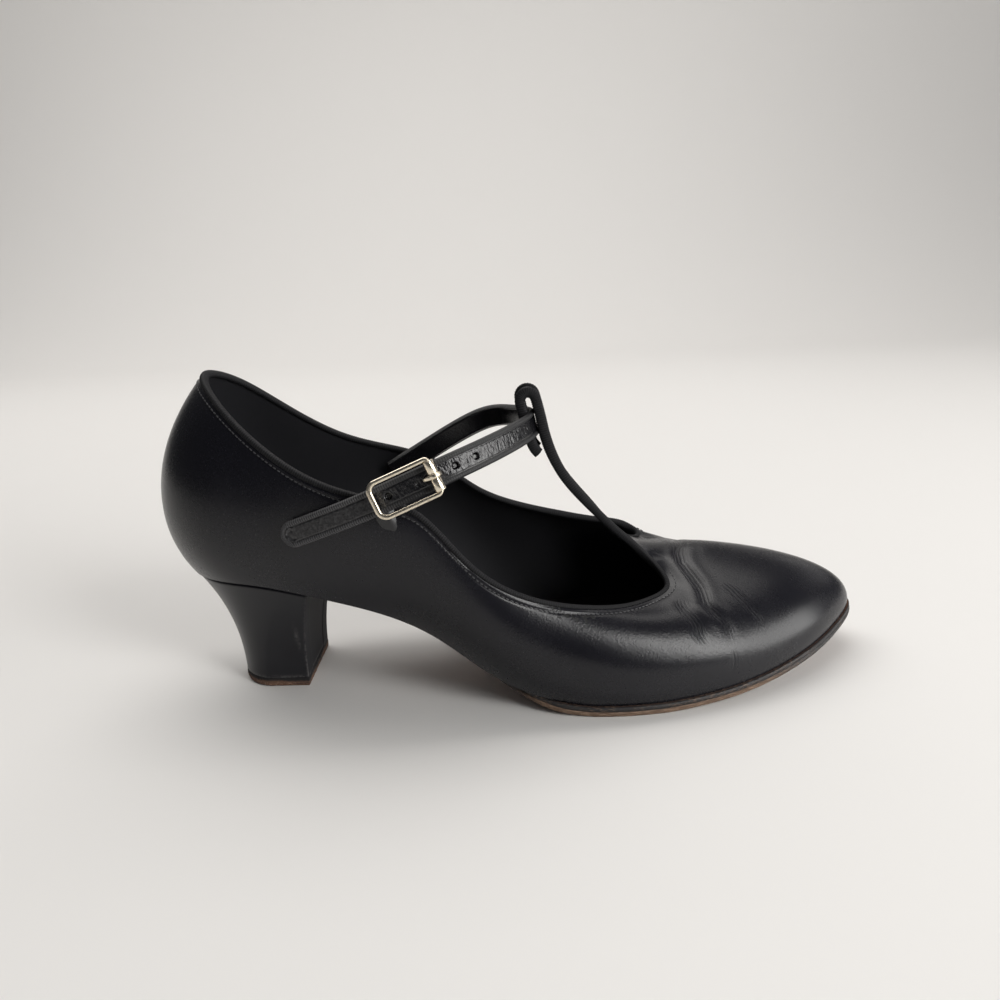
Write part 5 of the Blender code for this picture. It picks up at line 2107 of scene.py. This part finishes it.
@dataclass
class Studio:
    """Pale floor that curves up behind, soft lights, and a camera at the photograph's angle."""

    last: Last
    camera_place: Triple = (-0.17, -236.65, 130.34)
    pitch: float = 17.0
    yaw: float = -1.0
    roll: float = -2.6
    focal_pixels: float = 752.0
    frame_pixels: float = 1000.0
    sensor: float = 36.0
    floor_half: float = 2.4
    floor_front: float = -1.6
    floor_back: float = 0.9
    floor_columns: int = 5
    curve_radius: float = 0.7
    curve_steps: int = 24
    wall_height: float = 2.0
    world_light: float = 0.075
    world_colour: Colour = (0.95, 0.965, 1.0, 1.0)
    lights: tuple[LightRow, ...] = (
        LightRow("window", (0.69, -0.61, 0.53), (0.03, 0.0, 0.035), (0.28, 0.68), 6.5, (1.0, 0.99, 0.97)),
        LightRow("low_window", (1.05, -0.34, 0.30), (0.03, 0.0, 0.035), (0.65, 0.54), 6.2, (1.0, 0.99, 0.97)),
        LightRow("far_side", (1.6, 1.1, 0.9), (0.03, 0.0, 0.035), (1.1, 0.6), 1.3, (1.0, 0.98, 0.96)),
        LightRow("top", (-0.4, 0.55, 1.25), (-0.4, 0.1, 0.0), (1.8, 1.0), 12.5, (1.0, 0.975, 0.945)),
        LightRow("backdrop", (-0.1, 0.45, 1.5), (-0.1, 1.5, 0.3), (2.6, 0.5), 11.5, (1.0, 0.97, 0.935)),
    )

    def floor(self, finish: FloorFinish) -> None:
        """Makes the floor, a profile carried across: flat, a quarter circle, then a wall.

        Args:
            finish: Its finish.
        """
        turn = np.linspace(0.0, np.pi / 2.0, self.curve_steps)
        y = np.concatenate([[self.floor_front, 0.0], self.floor_back + self.curve_radius * np.sin(turn),
                            [self.floor_back + self.curve_radius]])
        z = np.concatenate([[0.0, 0.0], self.curve_radius * (1.0 - np.cos(turn)), [self.wall_height]])
        x = np.linspace(-self.floor_half, self.floor_half, self.floor_columns)
        grid = np.stack(np.broadcast_arrays(x, y[:, None], z[:, None]), axis=-1)
        mesh = bpy.data.meshes.new("studio_floor")
        mesh.from_pydata(grid.reshape(-1, 3).tolist(), [], grid_quads(len(y), len(x)).tolist())
        mesh.shade_smooth()
        mesh.materials.append(finish.paint())
        item = bpy.data.objects.new("studio_floor", mesh)
        bpy.context.scene.collection.objects.link(item)

    def aim(self, item: bpy.types.Object, place: Array, right: Array, up: Array) -> None:
        """Puts a camera or light at a place, with its own right and up directions."""
        turn = np.stack([right, up, np.cross(right, up), place], axis=1)
        item.matrix_world = Matrix([*turn.tolist(), [0.0, 0.0, 0.0, 1.0]])

    def light(self) -> None:
        """Soft rectangles of light, and a pale world."""
        for row in self.lights:
            lamp = bpy.data.lights.new(row.name, "AREA")
            lamp.shape = "RECTANGLE"
            lamp.size, lamp.size_y = row.size
            lamp.energy = row.power
            lamp.color = row.colour
            item = bpy.data.objects.new(row.name, lamp)
            bpy.context.scene.collection.objects.link(item)
            back = unit(np.subtract(row.place, row.target))
            right = unit(np.cross(UP, back))
            self.aim(item, np.array(row.place), right, np.cross(back, right))
        world = bpy.data.worlds.new("studio")
        world.use_nodes = True
        background = world.node_tree.nodes["Background"]
        background.inputs["Color"].default_value = self.world_colour
        background.inputs["Strength"].default_value = self.world_light
        bpy.context.scene.world = world

    def camera(self) -> None:
        """The camera: pitched down, turned by yaw about Z and rolled about its own axis."""
        pitch, yaw, roll = np.radians([self.pitch, self.yaw, self.roll])
        flat = np.array([np.sin(yaw), np.cos(yaw), 0.0])
        right = np.array([np.cos(yaw), -np.sin(yaw), 0.0])
        up = np.sin(pitch) * flat + np.cos(pitch) * UP
        lens = bpy.data.cameras.new("photo_camera")
        lens.sensor_width = self.sensor
        lens.lens = self.focal_pixels / self.frame_pixels * self.sensor
        lens.clip_start = 0.01
        item = bpy.data.objects.new("photo_camera", lens)
        bpy.context.scene.collection.objects.link(item)
        self.aim(item, self.last.to_metres(np.array(self.camera_place)),
                 np.cos(roll) * right + np.sin(roll) * up, np.cos(roll) * up - np.sin(roll) * right)
        bpy.context.scene.camera = item

    def build(self, finish: FloorFinish) -> None:
        """Sets floor, lights and camera.

        Args:
            finish: The floor's finish.
        """
        self.floor(finish)
        self.light()
        self.camera()
        bpy.context.scene.view_settings.view_transform = "Standard"


def corners(box: object) -> list[list[float]]:
    """A box's two corners as plain lists."""
    return [[float(value) for value in corner] for corner in box]


def main() -> None:
    """Builds the shoe's pieces and the studio in order."""
    logging.basicConfig(level=logging.INFO, format="%(name)s %(message)s")
    last = Last()
    shop = Workshop(last)
    Studio(last).build(FloorFinish("studio_floor"))
    Upper(last).build(shop, LeatherFinish("upper_leather"), RibbonFinish("binding_ribbon"),
                      ThreadFinish("seam_thread"))
    Bottoming(last).build(shop, SoleFinish("sole_leather"), SockFinish("sock_lining"),
                          LeatherFinish("heel_leather", roughness=0.32), LiftFinish("lift_leather"))
    strap = AnkleStrap(last)
    leather = StrapFinish("strap_leather")
    strap.build(shop, leather)
    Buckle(strap).build(shop, MetalFinish("buckle_gold"), leather)


if __name__ == "__main__":
    main()
